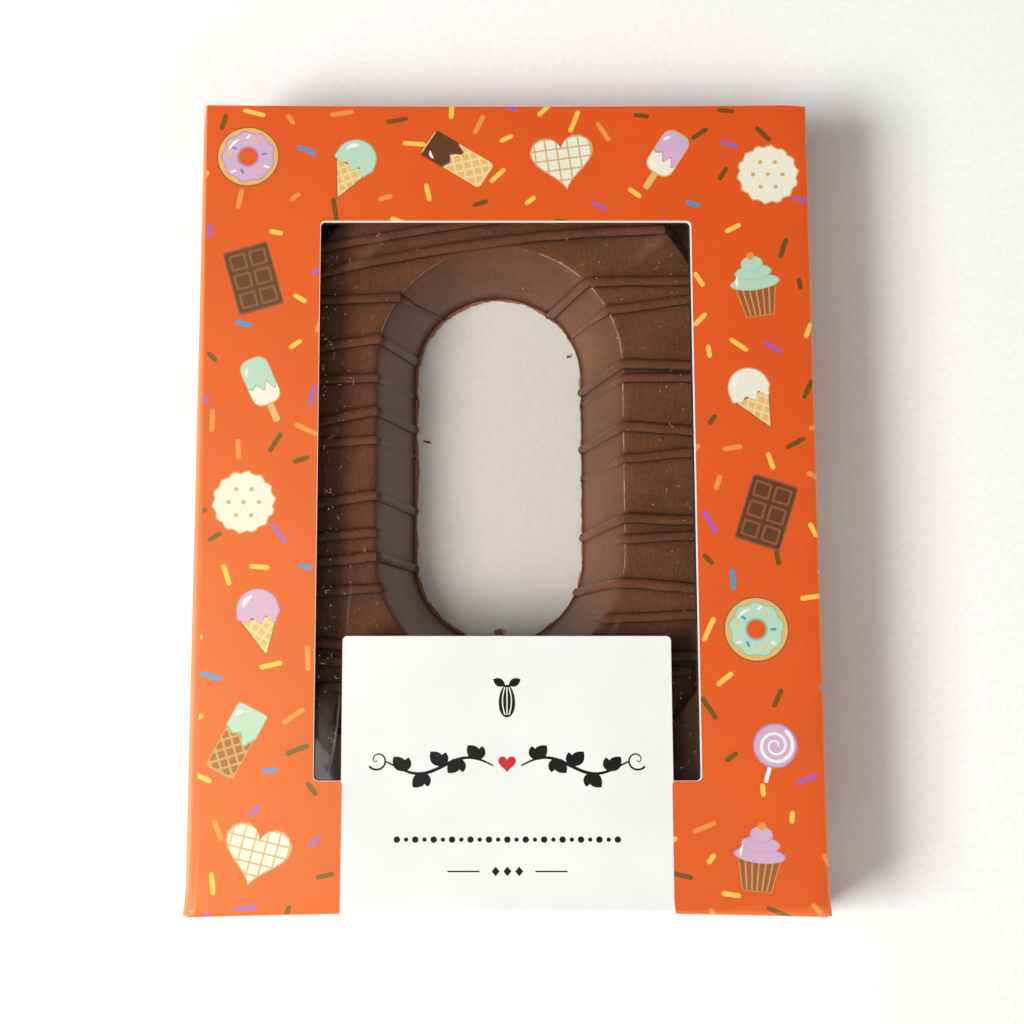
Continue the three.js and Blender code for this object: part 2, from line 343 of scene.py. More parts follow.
def raw_card_material(name, rgba):
    """Uncoated folding card: matt pressed fibres with faint flecks"""
    material, tree, place = new_material(name)
    pulp = varied_colour(tree, place, shaded(rgba, 0.97), shaded(rgba, 1.02), scale=1 / 0.0012, detail=5.0)
    fibre = add_node(tree, "TexNoise", {"Vector": place, "Scale": 1 / 0.0003, "Detail": 5.0})
    bump = add_node(tree, "Bump", {"Height": fibre, "Strength": 0.1, "Distance": 0.00002})
    skin = add_node(tree, "BsdfPrincipled", {
        "Base Color": pulp, "Roughness": 0.9, "IOR": 1.5, "Normal": bump})
    add_node(tree, "OutputMaterial", {"Surface": skin})
    return material


def clear_film_material():
    """Clear polypropylene film: nothing but its thin glossy reflection over what lies under it"""
    material, tree, place = new_material("clear_polypropylene_film")
    # The sheet lies in faint ripples about 14 mm apart
    ripple = add_node(tree, "TexNoise", {"Vector": place, "Scale": 1 / 0.014, "Detail": 2.0})
    bump = add_node(tree, "Bump", {"Height": ripple, "Strength": 0.3, "Distance": 0.0002})
    fresnel = add_node(tree, "Fresnel", {"IOR": 1.49, "Normal": bump})
    # Only the face that a ray meets first mirrors, as the sheet has no glass body to bounce in
    behind = add_node(tree, "NewGeometry").outputs["Backfacing"]
    ahead = add_node(tree, "Math", {0: 1.0, 1: behind}, operation="SUBTRACT")
    # A film's two faces mirror about twice as much as one
    both = add_node(tree, "Math", {0: fresnel, 1: 2.0}, operation="MULTIPLY", use_clamp=True)
    share = add_node(tree, "Math", {0: both, 1: ahead}, operation="MULTIPLY")
    gloss = add_node(tree, "BsdfGlossy", {"Color": WHITE, "Roughness": 0.03, "Normal": bump})
    clear = add_node(tree, "BsdfTransparent", {"Color": WHITE})
    film = add_node(tree, "MixShader", {0: share, 1: clear, 2: gloss})
    add_node(tree, "OutputMaterial", {"Surface": film})
    return material


def moulded_chocolate_material(name, rgba, face_height, foot_height):
    """Tempered milk chocolate from a mould: a satin skin, fine upright marks on its face, faint bloom, and
    painted shade in its creases and along the foot of its slopes
    """
    material, tree, place = new_material(name)
    # Duller patches, a little greener than the rest, lie about a centimetre apart
    dull = (rgba[0] * 0.78, rgba[1] * 0.86, rgba[2] * 0.8, 1.0)
    brown = varied_colour(tree, place, dull, shaded(rgba, 1.1), scale=1 / 0.011)
    # The marks run along Y, about 0.6 mm apart, and only on the flat face
    across = add_node(tree, "Mapping", {"Vector": place, "Scale": (1.0, 0.16, 1.0)})
    marks = add_node(tree, "TexNoise", {
        "Vector": across, "Scale": 1 / 0.0006, "Detail": 4.0, "Roughness": 0.7})
    height = add_node(tree, "SeparateXYZ", {"Vector": place}).outputs["Z"]
    above = add_node(tree, "MapRange", {
        "Value": height, "From Min": face_height - 0.0002, "From Max": face_height - 0.0001})
    below = add_node(tree, "MapRange", {
        "Value": height, "From Min": face_height + 0.0001, "From Max": face_height + 0.0002,
        "To Min": 1.0, "To Max": 0.0})
    on_face = add_node(tree, "Math", {0: above, 1: below}, operation="MULTIPLY")
    # The grain of sugar and fat is drawn about 0.6 mm across, so that it shows
    grain = add_node(tree, "TexNoise", {"Vector": place, "Scale": 1 / 0.0006, "Detail": 4.0})
    grain_tone = add_node(tree, "MapRange", {
        "Value": grain, "From Min": 0.3, "From Max": 0.7, "To Min": 0.82, "To Max": 1.18})
    mark_tone = add_node(tree, "MapRange", {
        "Value": marks, "From Min": 0.3, "From Max": 0.7, "To Min": -0.13, "To Max": 0.13})
    face_tone = add_node(tree, "Math", {0: mark_tone, 1: on_face, 2: grain_tone}, operation="MULTIPLY_ADD")
    # Painted shade: a dark line is painted along the foot of the slopes
    painted_foot_shade = add_node(tree, "MapRange", {
        "Value": height, "From Min": foot_height + 0.0003, "From Max": foot_height + 0.0005,
        "To Min": 0.45, "To Max": 1.0})
    lower_tone = add_node(tree, "Math", {0: face_tone, 1: painted_foot_shade}, operation="MULTIPLY")
    # Painted shade: where ambient occlusion finds a hollow within 1.7 mm, such as the crease beside a strand,
    # the chocolate is painted darker
    crease = add_node(tree, "AmbientOcclusion", {"Distance": 0.0017}, samples=6, only_local=True)
    painted_crease_shade = add_node(tree, "MapRange", {
        "Value": crease.outputs["AO"], "From Min": 0.55, "From Max": 0.97, "To Min": 0.2, "To Max": 1.0})
    tone = add_node(tree, "Math", {0: lower_tone, 1: painted_crease_shade}, operation="MULTIPLY")
    toned = add_node(tree, "HueSaturation", {"Color": brown, "Value": tone})
    low_grain = add_node(tree, "Bump", {"Height": grain, "Strength": 0.4, "Distance": 0.0001})
    mark_depth = add_node(tree, "Math", {0: on_face, 1: 0.3}, operation="MULTIPLY")
    bump = add_node(tree, "Bump", {
        "Height": marks, "Normal": low_grain, "Strength": mark_depth, "Distance": 0.00008})
    polish = add_node(tree, "MapRange", {"Value": grain, "To Min": 0.28, "To Max": 0.4})
    # The slopes kept the mould's polish. The face, the strands and the drops at the foot are dull.
    near_ridge = add_node(tree, "MapRange", {
        "Value": height, "From Min": face_height - 0.0013, "From Max": face_height - 0.0001})
    near_foot = add_node(tree, "MapRange", {
        "Value": height, "From Min": foot_height + 0.0006, "From Max": foot_height + 0.0016,
        "To Min": 1.0, "To Max": 0.0})
    matt = add_node(tree, "Math", {0: near_ridge, 1: near_foot}, operation="MAXIMUM")
    rough = add_node(tree, "MapRange", {"Value": matt, "To Min": polish, "To Max": 0.6})
    gloss = add_node(tree, "MapRange", {"Value": matt, "To Min": 1.0, "To Max": 0.2})
    skin = add_node(tree, "BsdfPrincipled", {
        "Base Color": toned, "Roughness": rough, "IOR": 1.5, "Specular IOR Level": gloss, "Normal": bump})
    add_node(tree, "OutputMaterial", {"Surface": skin})
    return material


# The print's inks, as sRGB hex values. The ground's own colour is a setting.
INKS = {
    "white_ground": "#F0F1EE",
    # Paler oranges painted along the left crease as its highlight
    "faint_crease_highlight_orange": "#F17F41",
    "crease_highlight_orange": "#F39058",
    "bared_card": "#EFE4CF",
    "scuffed_corner": "#8B8068",
    # Cream ink where the print has come off the top of the left crease, also painted as a highlight at the
    # bottom left corner
    "crease_wear_and_highlight": "#D8B698",
    "mint_icing": "#BFE3CB",
    "mint_shade": "#8FC7AC",
    "lilac_icing": "#DFB6DA",
    "lilac_shade": "#C48FC2",
    "cream_biscuit": "#FBF6E2",
    "tan_line": "#D9B583",
    "waffle_tan": "#F0BE72",
    "waffle_line": "#F8DDA6",
    "brown_waffle": "#A2552B",
    "brown_line": "#D79A63",
    "dark_chocolate": "#5C241A",
    "chocolate_line": "#8E4F38",
    "highlight": "#FFFFFF",
    "sprinkle_yellow": "#FFD05A",
    "sprinkle_orange": "#F7984C",
    "sprinkle_brown": "#6E4613",
    "sprinkle_purple": "#B45ABE",
    "sprinkle_blue": "#4B96D2",
    "label_black": "#100E0E",
    "label_red": "#C8322B",
}
DULL_INKS = ("white_ground", "label_black", "label_red", "faint_crease_highlight_orange", "crease_highlight_orange",
             "crease_wear_and_highlight", "bared_card", "scuffed_corner")


# The carton, a sheet that is drawn flat, printed and then folded

class Blank:
    """The carton's flat sheet, in millimetres, and the fold that turns it into the carton.

    The front panel's middle is at u = 0, v = 0. The right side and the back follow to the right,
    and the left side lies to the left. The bottom flap hangs from the front panel, and the top
    flap from the back panel. Short dust flaps close both sides behind them.
    """

    def __init__(self):
        self.ear = setting("carton", "ear")
        self.half_width = CARTON_HIGH.x - self.ear
        self.half_height = CARTON_HIGH.y
        self.depth = CARTON_HIGH.z
        self.card = setting("carton", "card")
        self.radius = setting("carton", "crease_radius")
        self.arc = self.radius * math.pi / 2
        self.slit = 0.08
        self.top_sag = setting("carton", "top_sag")
        self.bottom_sag = setting("carton", "bottom_sag")
        # Where one layer lies under another, air of 0.08 mm is between them
        inner = self.card + 0.08
        # Along u: the ends of the front panel, its crease, the side, the next crease and the back
        self.u1 = self.half_width - self.radius
        self.u2 = self.u1 + self.arc
        self.u3 = self.u2 + self.depth - 2 * self.radius
        self.u4 = self.u3 + self.arc
        self.u5 = self.u4 + 2 * self.half_width - self.radius
        self.left_end = -(self.u2 + self.depth - self.radius - inner)
        # Along v: where each kind of flap starts to fold, and how long it is
        self.bottom_fold = self.half_height - self.radius
        self.wall = self.depth - 2 * self.radius - inner
        self.bottom_flap = 2 * self.arc + self.wall
        self.top_fold = self.half_height - 0.1 - self.radius
        self.tuck = 8.0
        self.top_flap = 2 * self.arc + self.wall + self.tuck
        self.dust_fold = self.half_height - inner - self.radius
        self.dust_flap = 15.0
        # A dust flap's root keeps clear of the tucked edges in front and behind
        self.dust_from = self.u2 + 0.6
        self.dust_to = self.u3 - 1.15
        self.flap_half = self.u1 - 0.1
        self.back_from = self.u4 + 0.9
        self.back_to = self.u5 - 0.9

    def dust_outline(self, near, far, end):
        """One dust flap's outline, from one side of its root to the other"""
        root = end * self.dust_fold
        reach = end * (self.dust_fold + self.dust_flap)
        slant = 2.2
        lean = slant if far > near else -slant
        straight = end * (self.dust_fold + 4.0)
        return [(near, root), (near, straight), (near + lean, reach), (far - lean, reach),
                (far, straight), (far, root)]

    def outline(self):
        """The sheet's outline, run round to the left of its middle"""
        slit = self.slit
        # The walls' ends lie a little inside the carton's full height
        low = -(self.half_height - 0.25)
        back_high = self.half_height - 0.35
        flap_low = -(self.bottom_fold + self.bottom_flap)
        flap_high = self.top_fold + self.top_flap
        cut = 2
        # From the bottom flap to the back, along the lower end of the right side wall
        lower = [(self.flap_half, -self.bottom_fold), (self.flap_half + slit, -self.bottom_fold),
                 (self.flap_half + slit, low), (self.dust_from - slit, low),
                 (self.dust_from - slit, -self.dust_fold),
                 *self.dust_outline(self.dust_from, self.dust_to, -1),
                 (self.dust_to + slit, -self.dust_fold), (self.dust_to + slit, low)]
        # Round the back and its flap, whose corners are cut off
        back = [(self.u5, low), (self.u5, back_high), (self.back_to + slit, back_high),
                (self.back_to + slit, self.top_fold), (self.back_to, self.top_fold),
                (self.back_to, flap_high - cut), (self.back_to - cut, flap_high),
                (self.back_from + cut, flap_high), (self.back_from, flap_high - cut),
                (self.back_from, self.top_fold), (self.back_from - slit, self.top_fold),
                (self.back_from - slit, back_high), (self.dust_to + slit, back_high)]
        # From the back to the front panel, along the upper end of the right side wall
        upper = [(self.dust_to + slit, self.dust_fold),
                 *self.dust_outline(self.dust_to, self.dust_from, 1),
                 (self.dust_from - slit, self.dust_fold), (self.dust_from - slit, self.half_height)]
        left = [(-self.dust_to - slit, back_high), (self.left_end, back_high), (self.left_end, low)]
        lower_left = [(-u, v) for u, v in reversed(lower)]
        upper_left = [(-u, v) for u, v in reversed(upper)]
        flap = [(-self.flap_half, flap_low), (self.flap_half, flap_low)]
        return [*flap, *lower, *back, *upper, *upper_left, *left, *lower_left]

    def creases(self, steps=5):
        """Lines along which the sheet bends, a few for each crease"""
        lines = []
        high = self.half_height - 0.3
        left_roll = 2.0
        bottom_roll = 1.8
        for share in shares(steps):
            for u in (self.u1 + share * self.arc, self.u3 + share * self.arc, -self.u1 - share * self.arc):
                lines.append(((u, -high), (u, high)))
            # The panel also rolls over softly beside its left and bottom creases
            u = -self.u1 + left_roll * share
            lines.append(((u, -high), (u, high)))
            v = -self.bottom_fold + bottom_roll * share
            lines.append(((0.0, v), (self.u1, v)))
            for start in (self.bottom_fold, self.bottom_fold + self.arc + self.wall):
                v = -(start + share * self.arc)
                lines.append(((-self.flap_half, v), (self.flap_half, v)))
            for start in (self.top_fold, self.top_fold + self.arc + self.wall):
                v = start + share * self.arc
                lines.append(((self.back_from, v), (self.back_to, v)))
            for end in (-1, 1):
                v = end * (self.dust_fold + share * self.arc)
                lines.append(((self.dust_from, v), (self.dust_to, v)))
                lines.append(((-self.dust_from, v), (-self.dust_to, v)))
        return lines

    def across(self, u):
        """The carton's section: the outer face's x and z and its normal there"""
        side = -1 if u < 0 else 1
        s = abs(u)
        r = self.radius
        if s <= self.u1:
            return side * s, self.depth, 0.0, 1.0
        if s <= self.u2:
            angle = (s - self.u1) / r
            return (side * (self.u1 + r * math.sin(angle)), self.depth - r + r * math.cos(angle),
                    side * math.sin(angle), math.cos(angle))
        if s <= self.u3:
            return side * self.half_width, self.depth - r - (s - self.u2), side, 0.0
        if s <= self.u4:
            angle = (s - self.u3) / r
            return (side * (self.u1 + r * math.cos(angle)), r - r * math.sin(angle),
                    side * math.cos(angle), -math.sin(angle))
        return side * (self.u1 - (s - self.u4)), 0.0, 0.0, -1.0

    def flap(self, beyond, wall):
        """How a flap lies past its fold: reach and drop from the fold's start, and the turn of its normal"""
        r = self.radius
        if beyond <= self.arc:
            angle = beyond / r
            return r * math.sin(angle), r - r * math.cos(angle), angle
        if beyond <= self.arc + wall:
            return r, r + beyond - self.arc, math.pi / 2
        if beyond <= 2 * self.arc + wall:
            angle = (beyond - self.arc - wall) / r
            return r * math.cos(angle), r + wall + r * math.sin(angle), math.pi / 2 + angle
        return -(beyond - 2 * self.arc - wall), 2 * r + wall, math.pi

    def fold(self, u, v):
        """The outer face's place and normal for a point of the flat sheet"""
        x, z, nx, nz = self.across(u)
        # A point on a flap's very edge counts as on the flap
        slack = 0.01
        in_side = self.dust_from - slack <= abs(u) <= self.dust_to + slack
        in_back = self.back_from - slack <= u <= self.back_to + slack
        if v < -self.bottom_fold and abs(u) <= self.flap_half + slack:
            reach, drop, turn = self.flap(-v - self.bottom_fold, self.wall)
            place = Vector((x, -self.bottom_fold - reach, self.depth - drop))
            return place, Vector((0.0, -math.sin(turn), math.cos(turn)))
        if v > self.top_fold and in_back:
            reach, drop, turn = self.flap(v - self.top_fold, self.wall)
            place = Vector((x, self.top_fold + reach, drop))
            return place, Vector((0.0, math.sin(turn), -math.cos(turn)))
        if in_side and abs(v) > self.dust_fold:
            end = 1 if v > 0 else -1
            side = 1 if u > 0 else -1
            reach, drop, turn = self.flap(abs(v) - self.dust_fold, self.dust_flap)
            place = Vector((side * (self.half_width - drop), end * (self.dust_fold + reach), z))
            return place, Vector((side * math.cos(turn), end * math.sin(turn), 0.0))
        return Vector((x, v, z)), Vector((nx, 0.0, nz))

    def settle(self, place):
        """The folded carton's own give: ears at the bottom corners and edges that bow in"""
        ear_height = 2.4
        bow_from = 64.0
        bow_reach = self.half_height - bow_from
        flare = clamped((-place.y - self.half_height + ear_height) / ear_height)
        x = place.x * (1 + flare * self.ear / self.half_width)
        bow = 1 - (x / (self.half_width + self.ear)) ** 2
        bottom = clamped((-place.y - bow_from) / bow_reach)
        top = clamped((place.y - bow_from) / bow_reach)
        y = place.y + bow * (self.bottom_sag * bottom ** 1.5 - self.top_sag * top ** 1.5)
        return Vector((x, y, place.z - self.rolled_down(place) * place.z / self.depth))

    def rolled_down(self, place):
        """How far the front panel dips where it rolls over towards its left and bottom right creases"""
        from_top = (self.half_height - place.y) / (2 * self.half_height)
        from_bottom = place.y + self.half_height
        softness = 1.25
        # The left roll widens downwards and is steepest just over the corner
        wide = 0.5 + 1.8 * from_top
        corner_height = 2.2
        corner = math.exp(-((from_bottom - corner_height) / 1.8) ** 2)
        left = max(0.0, 1 - (place.x + self.half_width) / wide)
        steep = 0.05 + 0.16 * corner
        # The bottom roll starts right of the middle and is deepest from x = 58 mm
        depth = 0.36
        right_end = clamped((place.x - 28) / 30)
        low = max(0.0, 1 - from_bottom / corner_height)
        return steep * wide * left ** softness + depth * right_end * low ** softness


def stepped(points, closed, longest=5.0):
    """Splits the long edges of a line"""
    result = []
    for (ua, va), (ub, vb) in ring_pairs(points) if closed else zip(points, points[1:]):
        count = max(1, math.ceil(math.hypot(ub - ua, vb - va) / longest))
        for step in range(count):
            share = step / count
            result.append((ua + share * (ub - ua), va + share * (vb - va)))
    if not closed:
        result.append(points[-1])
    return result


def corner_arc(u, v, radius, start, turn=-90, steps=5):
    """An arc about a corner's centre, in degrees"""
    angles = [math.radians(start + turn * step / steps) for step in range(steps + 1)]
    return [polar(radius, angle, u, v) for angle in angles]


def window_outline(grow=0.0, lean=0.0):
    """The window's outline with the label standing up in it, grown by a margin that leans to one side"""
    side = setting("carton", "window_width") / 2 + grow
    top = setting("carton", "window_top") + grow + lean
    bottom = -setting("carton", "window_bottom") - grow + lean
    label = setting("carton", "tongue_width") / 2 - grow
    label_top = -setting("carton", "tongue_top") - grow
    r = setting("carton", "corner_radius")
    points = [(-label, bottom), (-label, label_top - r)]
    points += corner_arc(-label + r, label_top - r, r, 180)[1:]
    points += corner_arc(label - r, label_top - r, r, 90)
    points += [(label, bottom)]
    right = side + lean - r
    left = -side + lean + r
    corners = ((right, bottom + r, 270), (right, top - r, 0), (left, top - r, 90), (left, bottom + r, 180))
    for u, v, start in corners:
        points += corner_arc(u, v, r, start, 90)
    return points


# The print, as closed fields of ink on the flat sheet. A later field lies over an earlier one.

class Print:
    """Fields of ink: an outline, the ink, and the field that it has to lie in"""

    def __init__(self):
        self.fields = []

    def add(self, points, ink, inside=None):
        """Adds a field and gives its number"""
        self.fields.append((points, ink, inside))
        return len(self.fields) - 1


def ring_points(radius, steps=28, wave=0.0, waves=0):
    """A circle, with a wavy edge where waves is given"""
    points = []
    for step in range(steps):
        angle = 2 * math.pi * step / steps
        reach = radius * (1 + wave * math.sin(waves * angle))
        points.append(polar(reach, angle))
    return points


def rounded_box(half_wide, half_tall, radius, middle=(0.0, 0.0), steps=4):
    """A rectangle with round corners, each of a few steps"""
    points = []
    for side_u, side_v, start in ((1, 1, 0), (-1, 1, 90), (-1, -1, 180), (1, -1, 270)):
        centre = (middle[0] + side_u * (half_wide - radius), middle[1] + side_v * (half_tall - radius))
        points += corner_arc(*centre, radius, start, 90, steps)
    return points


def drip_edge(half_wide, level, depth, drops, steps=5):
    """The lower edge of icing, from right to left: drips between small bays"""
    points = []
    total = drops * steps
    for share in shares(total):
        wave = 0.5 - 0.5 * math.cos(2 * math.pi * drops * share)
        uneven = 0.65 + 0.35 * math.sin(5.1 * share + level)
        points.append((half_wide * (1 - 2 * share), level - depth * wave * uneven))
    return points


def strip(start, end, width):
    """A straight strip between two points"""
    du = end[0] - start[0]
    dv = end[1] - start[1]
    size = math.hypot(du, dv)
    nu = -dv / size * width / 2
    nv = du / size * width / 2
    return [(start[0] + nu, start[1] + nv), (start[0] - nu, start[1] - nv),
            (end[0] - nu, end[1] - nv), (end[0] + nu, end[1] + nv)]


def capsule(reach, width, steps=4):
    """A sprinkle: a short bar with round ends"""
    half = reach / 2 - width / 2
    right = corner_arc(half, 0, width / 2, -90, 180, steps)
    left = corner_arc(-half, 0, width / 2, 90, 180, steps)
    return right + left


def curved_stroke(points, widths):
    """A pen stroke along a line of points, as wide at each point as widths says"""
    left = []
    right = []
    for number, (u, v) in enumerate(points):
        before, after = neighbours(points, number)
        du = after[0] - before[0]
        dv = after[1] - before[1]
        size = math.hypot(du, dv)
        half = widths[number] / 2
        left.append((u - dv / size * half, v + du / size * half))
        right.append((u + dv / size * half, v - du / size * half))
    return left + right[::-1]


def grid_lines(reach, gap, angle, width):
    """Parallel strips through the middle, one gap apart"""
    lines = []
    turn = math.radians(angle)
    count = int(reach // gap)
    for number in range(-count, count + 1):
        shift = number * gap + 0.13
        mid = (-math.sin(turn) * shift, math.cos(turn) * shift)
        along = (math.cos(turn) * reach, math.sin(turn) * reach)
        ends = [(mid[0] + way * along[0], mid[1] + way * along[1]) for way in (-1, 1)]
        lines.append(strip(*ends, width))
    return lines


class Motif:
    """One printed sweet: adds its fields to the print, turned and placed"""

    def __init__(self, sheet_print, u, v, degrees, size):
        self.print = sheet_print
        self.place = (u, v)
        self.turn = math.radians(degrees)
        self.size = size

    def add(self, points, ink, inside=None):
        """Adds a field drawn in units of the motif's half size"""
        return self.print.add(turned(points, self.turn, *self.place, self.size / 2), ink, inside)

    def outlined(self, points, ink, rim_ink, rim=1.07):
        """A shape with a thin rim in another ink round it"""
        middle_u = sum(u for u, _ in points) / len(points)
        middle_v = sum(v for _, v in points) / len(points)
        larger = [(middle_u + (u - middle_u) * rim, middle_v + (v - middle_v) * rim) for u, v in points]
        self.add(larger, rim_ink)
        return self.add(points, ink)

    def grid(self, inside, gap, ink, width=0.07, angles=(45, -45)):
        """Waffle lines that show inside one field"""
        for angle in angles:
            for line in grid_lines(1.25, gap, angle, width):
                self.add(line, ink, inside)

    def shine(self, u, v, reach, start, sweep, width=0.13):
        """A white highlight crescent"""
        steps = 8
        line = []
        widths = []
        for step in range(steps + 1):
            angle = math.radians(start + sweep * step / steps)
            line.append(polar(reach, angle, u, v))
            widths.append(width * math.sin(math.pi * (step + 0.6) / (steps + 1.2)))
        self.add(curved_stroke(line, widths), "highlight")


def cone(motif, icing, shade, wafer="waffle_tan", line="waffle_line"):
    """An ice cream cone with dripping icing"""
    horn = motif.outlined([(-0.52, 0.08), (0.0, -1.0), (0.52, 0.08)], wafer, "brown_waffle", 1.1)
    motif.grid(horn, 0.24, line)
    scoop = corner_arc(0, 0.34, 0.6, 0, 180, 14) + [(-0.62, 0.2)]
    scoop += drip_edge(0.6, 0.16, 0.3, 3)[::-1]
    motif.outlined(scoop, icing, shade, 1.06)
    motif.shine(0, 0.36, 0.43, 100, 60)


def doughnut(motif, icing, shade, dough="waffle_tan"):
    """A ring with wavy icing and a few strewn bits"""
    motif.outlined(ring_points(0.92, 32), dough, "brown_waffle", 1.05)
    motif.add(ring_points(0.8, 40, 0.05, 9), shade)
    motif.add(ring_points(0.76, 40, 0.05, 9), icing)
    motif.add(ring_points(0.34, 22), shade)
    motif.add(ring_points(0.28, 20), "orange_ground")
    for number in range(9):
        angle = 2 * math.pi * number / 9 + 0.3 * (number % 2)
        reach = 0.5 + 0.07 * (number % 3)
        bit = turned(capsule(0.2, 0.075, 2), 1.9 * number, *polar(reach, angle))
        motif.add(bit, ("sprinkle_blue", "sprinkle_yellow", "highlight")[number % 3])
    motif.shine(0, 0, 0.62, 105, 45, 0.09)


def wafer_bar(motif, base, line, icing, shade):
    """A wafer stick dipped in icing at its top"""
    bar = motif.outlined(rounded_box(0.42, 0.98, 0.12), base, line, 1.07)
    motif.grid(bar, 0.26, line)
    dip = [(-0.46, 1.02)] + drip_edge(0.46, 0.3, 0.34, 2)[::-1] + [(0.46, 1.02)]
    motif.add([(u * 1.05, v - 0.05) for u, v in dip], shade)
    motif.add(dip, icing)
    motif.shine(-0.12, 0.62, 0.24, 110, 70, 0.09)


def chocolate_bar(motif, base="dark_chocolate", line="chocolate_line"):
    """A small bar of six squares"""
    motif.outlined(rounded_box(0.66, 0.96, 0.08), base, line, 1.06)
    for column in (-1, 1):
        for row in (-1, 0, 1):
            middle = (column * 0.31, row * 0.61)
            motif.add(rounded_box(0.26, 0.25, 0.05, middle), line)
            motif.add(rounded_box(0.19, 0.18, 0.04, middle), base)


def lolly(motif, icing, shade):
    """A round lolly on a stick with a spiral"""
    motif.add(rounded_box(0.06, 0.5, 0.05, (0.0, -0.6)), "highlight")
    disc = motif.outlined(ring_points(0.6, 28), icing, shade, 1.08)
    spiral = []
    widths = []
    for share in shares(34):
        angle = 4.4 * math.pi * share
        reach = 0.08 + 0.46 * share
        spiral.append(polar(reach, angle))
        widths.append(0.05 + 0.06 * share)
    motif.add(curved_stroke(spiral, widths), "highlight", disc)


def heart_points(size):
    """A heart"""
    points = []
    steps = 30
    for step in range(steps):
        t = 2 * math.pi * step / steps
        u = 16 * math.sin(t) ** 3
        v = 13 * math.cos(t) - 5 * math.cos(2 * t) - 2 * math.cos(3 * t) - math.cos(4 * t)
        points.append((size * u / 16, size * (v + 2.5) / 16))
    return points


def heart_biscuit(motif, base, line):
    """A heart biscuit with a pressed grid"""
    heart = motif.outlined(heart_points(0.92), base, "tan_line", 1.06)
    motif.grid(heart, 0.34, line, 0.05, (0, 90))


def round_biscuit(motif, base, line):
    """A round biscuit with a scalloped edge and small holes"""
    motif.outlined(ring_points(0.88, 48, 0.05, 14), base, line, 1.05)
    for number in range(7):
        angle = 2 * math.pi * number / 6
        reach = 0.45 if number < 6 else 0.0
        motif.add([polar(reach, angle, u, v) for u, v in ring_points(0.07, 8)], line)


def cupcake(motif, icing, shade, cup="brown_waffle", line="brown_line"):
    """A small cake in a pleated cup, with wavy icing"""
    motif.outlined([(-0.58, -0.05), (-0.4, -0.92), (0.4, -0.92), (0.58, -0.05)], cup, line, 1.06)
    for number in range(-2, 3):
        motif.add(strip((number * 0.2, -0.08), (number * 0.145, -0.9), 0.05), line)
    for level, half in ((0.1, 0.72), (0.42, 0.54), (0.7, 0.32)):
        motif.outlined([(half * u, level + 0.22 * v) for u, v in ring_points(1.0, 22)], icing, shade, 1.06)
    motif.add([(u, v + 0.94) for u, v in ring_points(0.12, 12)], "sprinkle_orange")
    motif.shine(-0.05, 0.12, 0.5, 150, 40, 0.08)


def ice_bar(motif, icing, shade, base="cream_biscuit"):
    """An ice on a stick, dipped in icing"""
    motif.add(rounded_box(0.1, 0.4, 0.08, (0.0, -0.72)), "waffle_tan")
    bar = motif.outlined(rounded_box(0.42, 0.72, 0.3, (0.0, 0.22)), base, "tan_line", 1.06)
    dip = [(-0.5, 1.0)] + drip_edge(0.5, 0.2, 0.32, 3)[::-1] + [(0.5, 1.0)]
    motif.add([(u, v - 0.06) for u, v in dip], shade, bar)
    motif.add(dip, icing, bar)
    motif.shine(-0.06, 0.5, 0.26, 120, 60, 0.09)


MINT = ("mint_icing", "mint_shade")
LILAC = ("lilac_icing", "lilac_shade")
CREAM = ("cream_biscuit", "tan_line")
COCOA = ("dark_chocolate", "chocolate_line")

# The sweets on the front panel: what each is, its place from the panel's middle in millimetres,
# its turn in degrees and its inks
FRONT_SWEETS = [
    (doughnut, -51.0, 68.5, 10, LILAC),
    (cone, -30.5, 66.0, -24, MINT),
    (wafer_bar, -9.5, 68.0, 58, ("waffle_tan", "waffle_line", *COCOA)),
    (heart_biscuit, 11.5, 67.2, 8, CREAM),
    (ice_bar, 31.5, 68.0, -32, LILAC),
    (round_biscuit, 52.0, 64.8, 0, CREAM),
    (chocolate_bar, -49.5, 43.5, 16, COCOA),
    (ice_bar, -47.2, 21.5, 24, MINT),
    (round_biscuit, -50.5, -1.0, 0, CREAM),
    (cone, -47.0, -24.0, 12, LILAC),
    (wafer_bar, -51.0, -46.5, -28, ("brown_waffle", "brown_line", *MINT)),
    (heart_biscuit, -47.0, -68.0, -14, CREAM),
    (cupcake, 49.0, 42.0, 8, MINT),
    (cone, 48.2, 19.5, 28, CREAM),
    (chocolate_bar, 50.0, -3.0, -18, COCOA),
    (doughnut, 47.5, -25.5, 0, MINT),
    (lolly, 50.5, -47.5, -16, LILAC),
    (cupcake, 47.0, -68.5, -6, LILAC),
]

SPRINKLE_INKS = (
    "sprinkle_yellow", "sprinkle_yellow", "sprinkle_yellow", "sprinkle_orange", "sprinkle_orange",
    "sprinkle_brown", "sprinkle_brown", "sprinkle_purple", "sprinkle_blue",
)


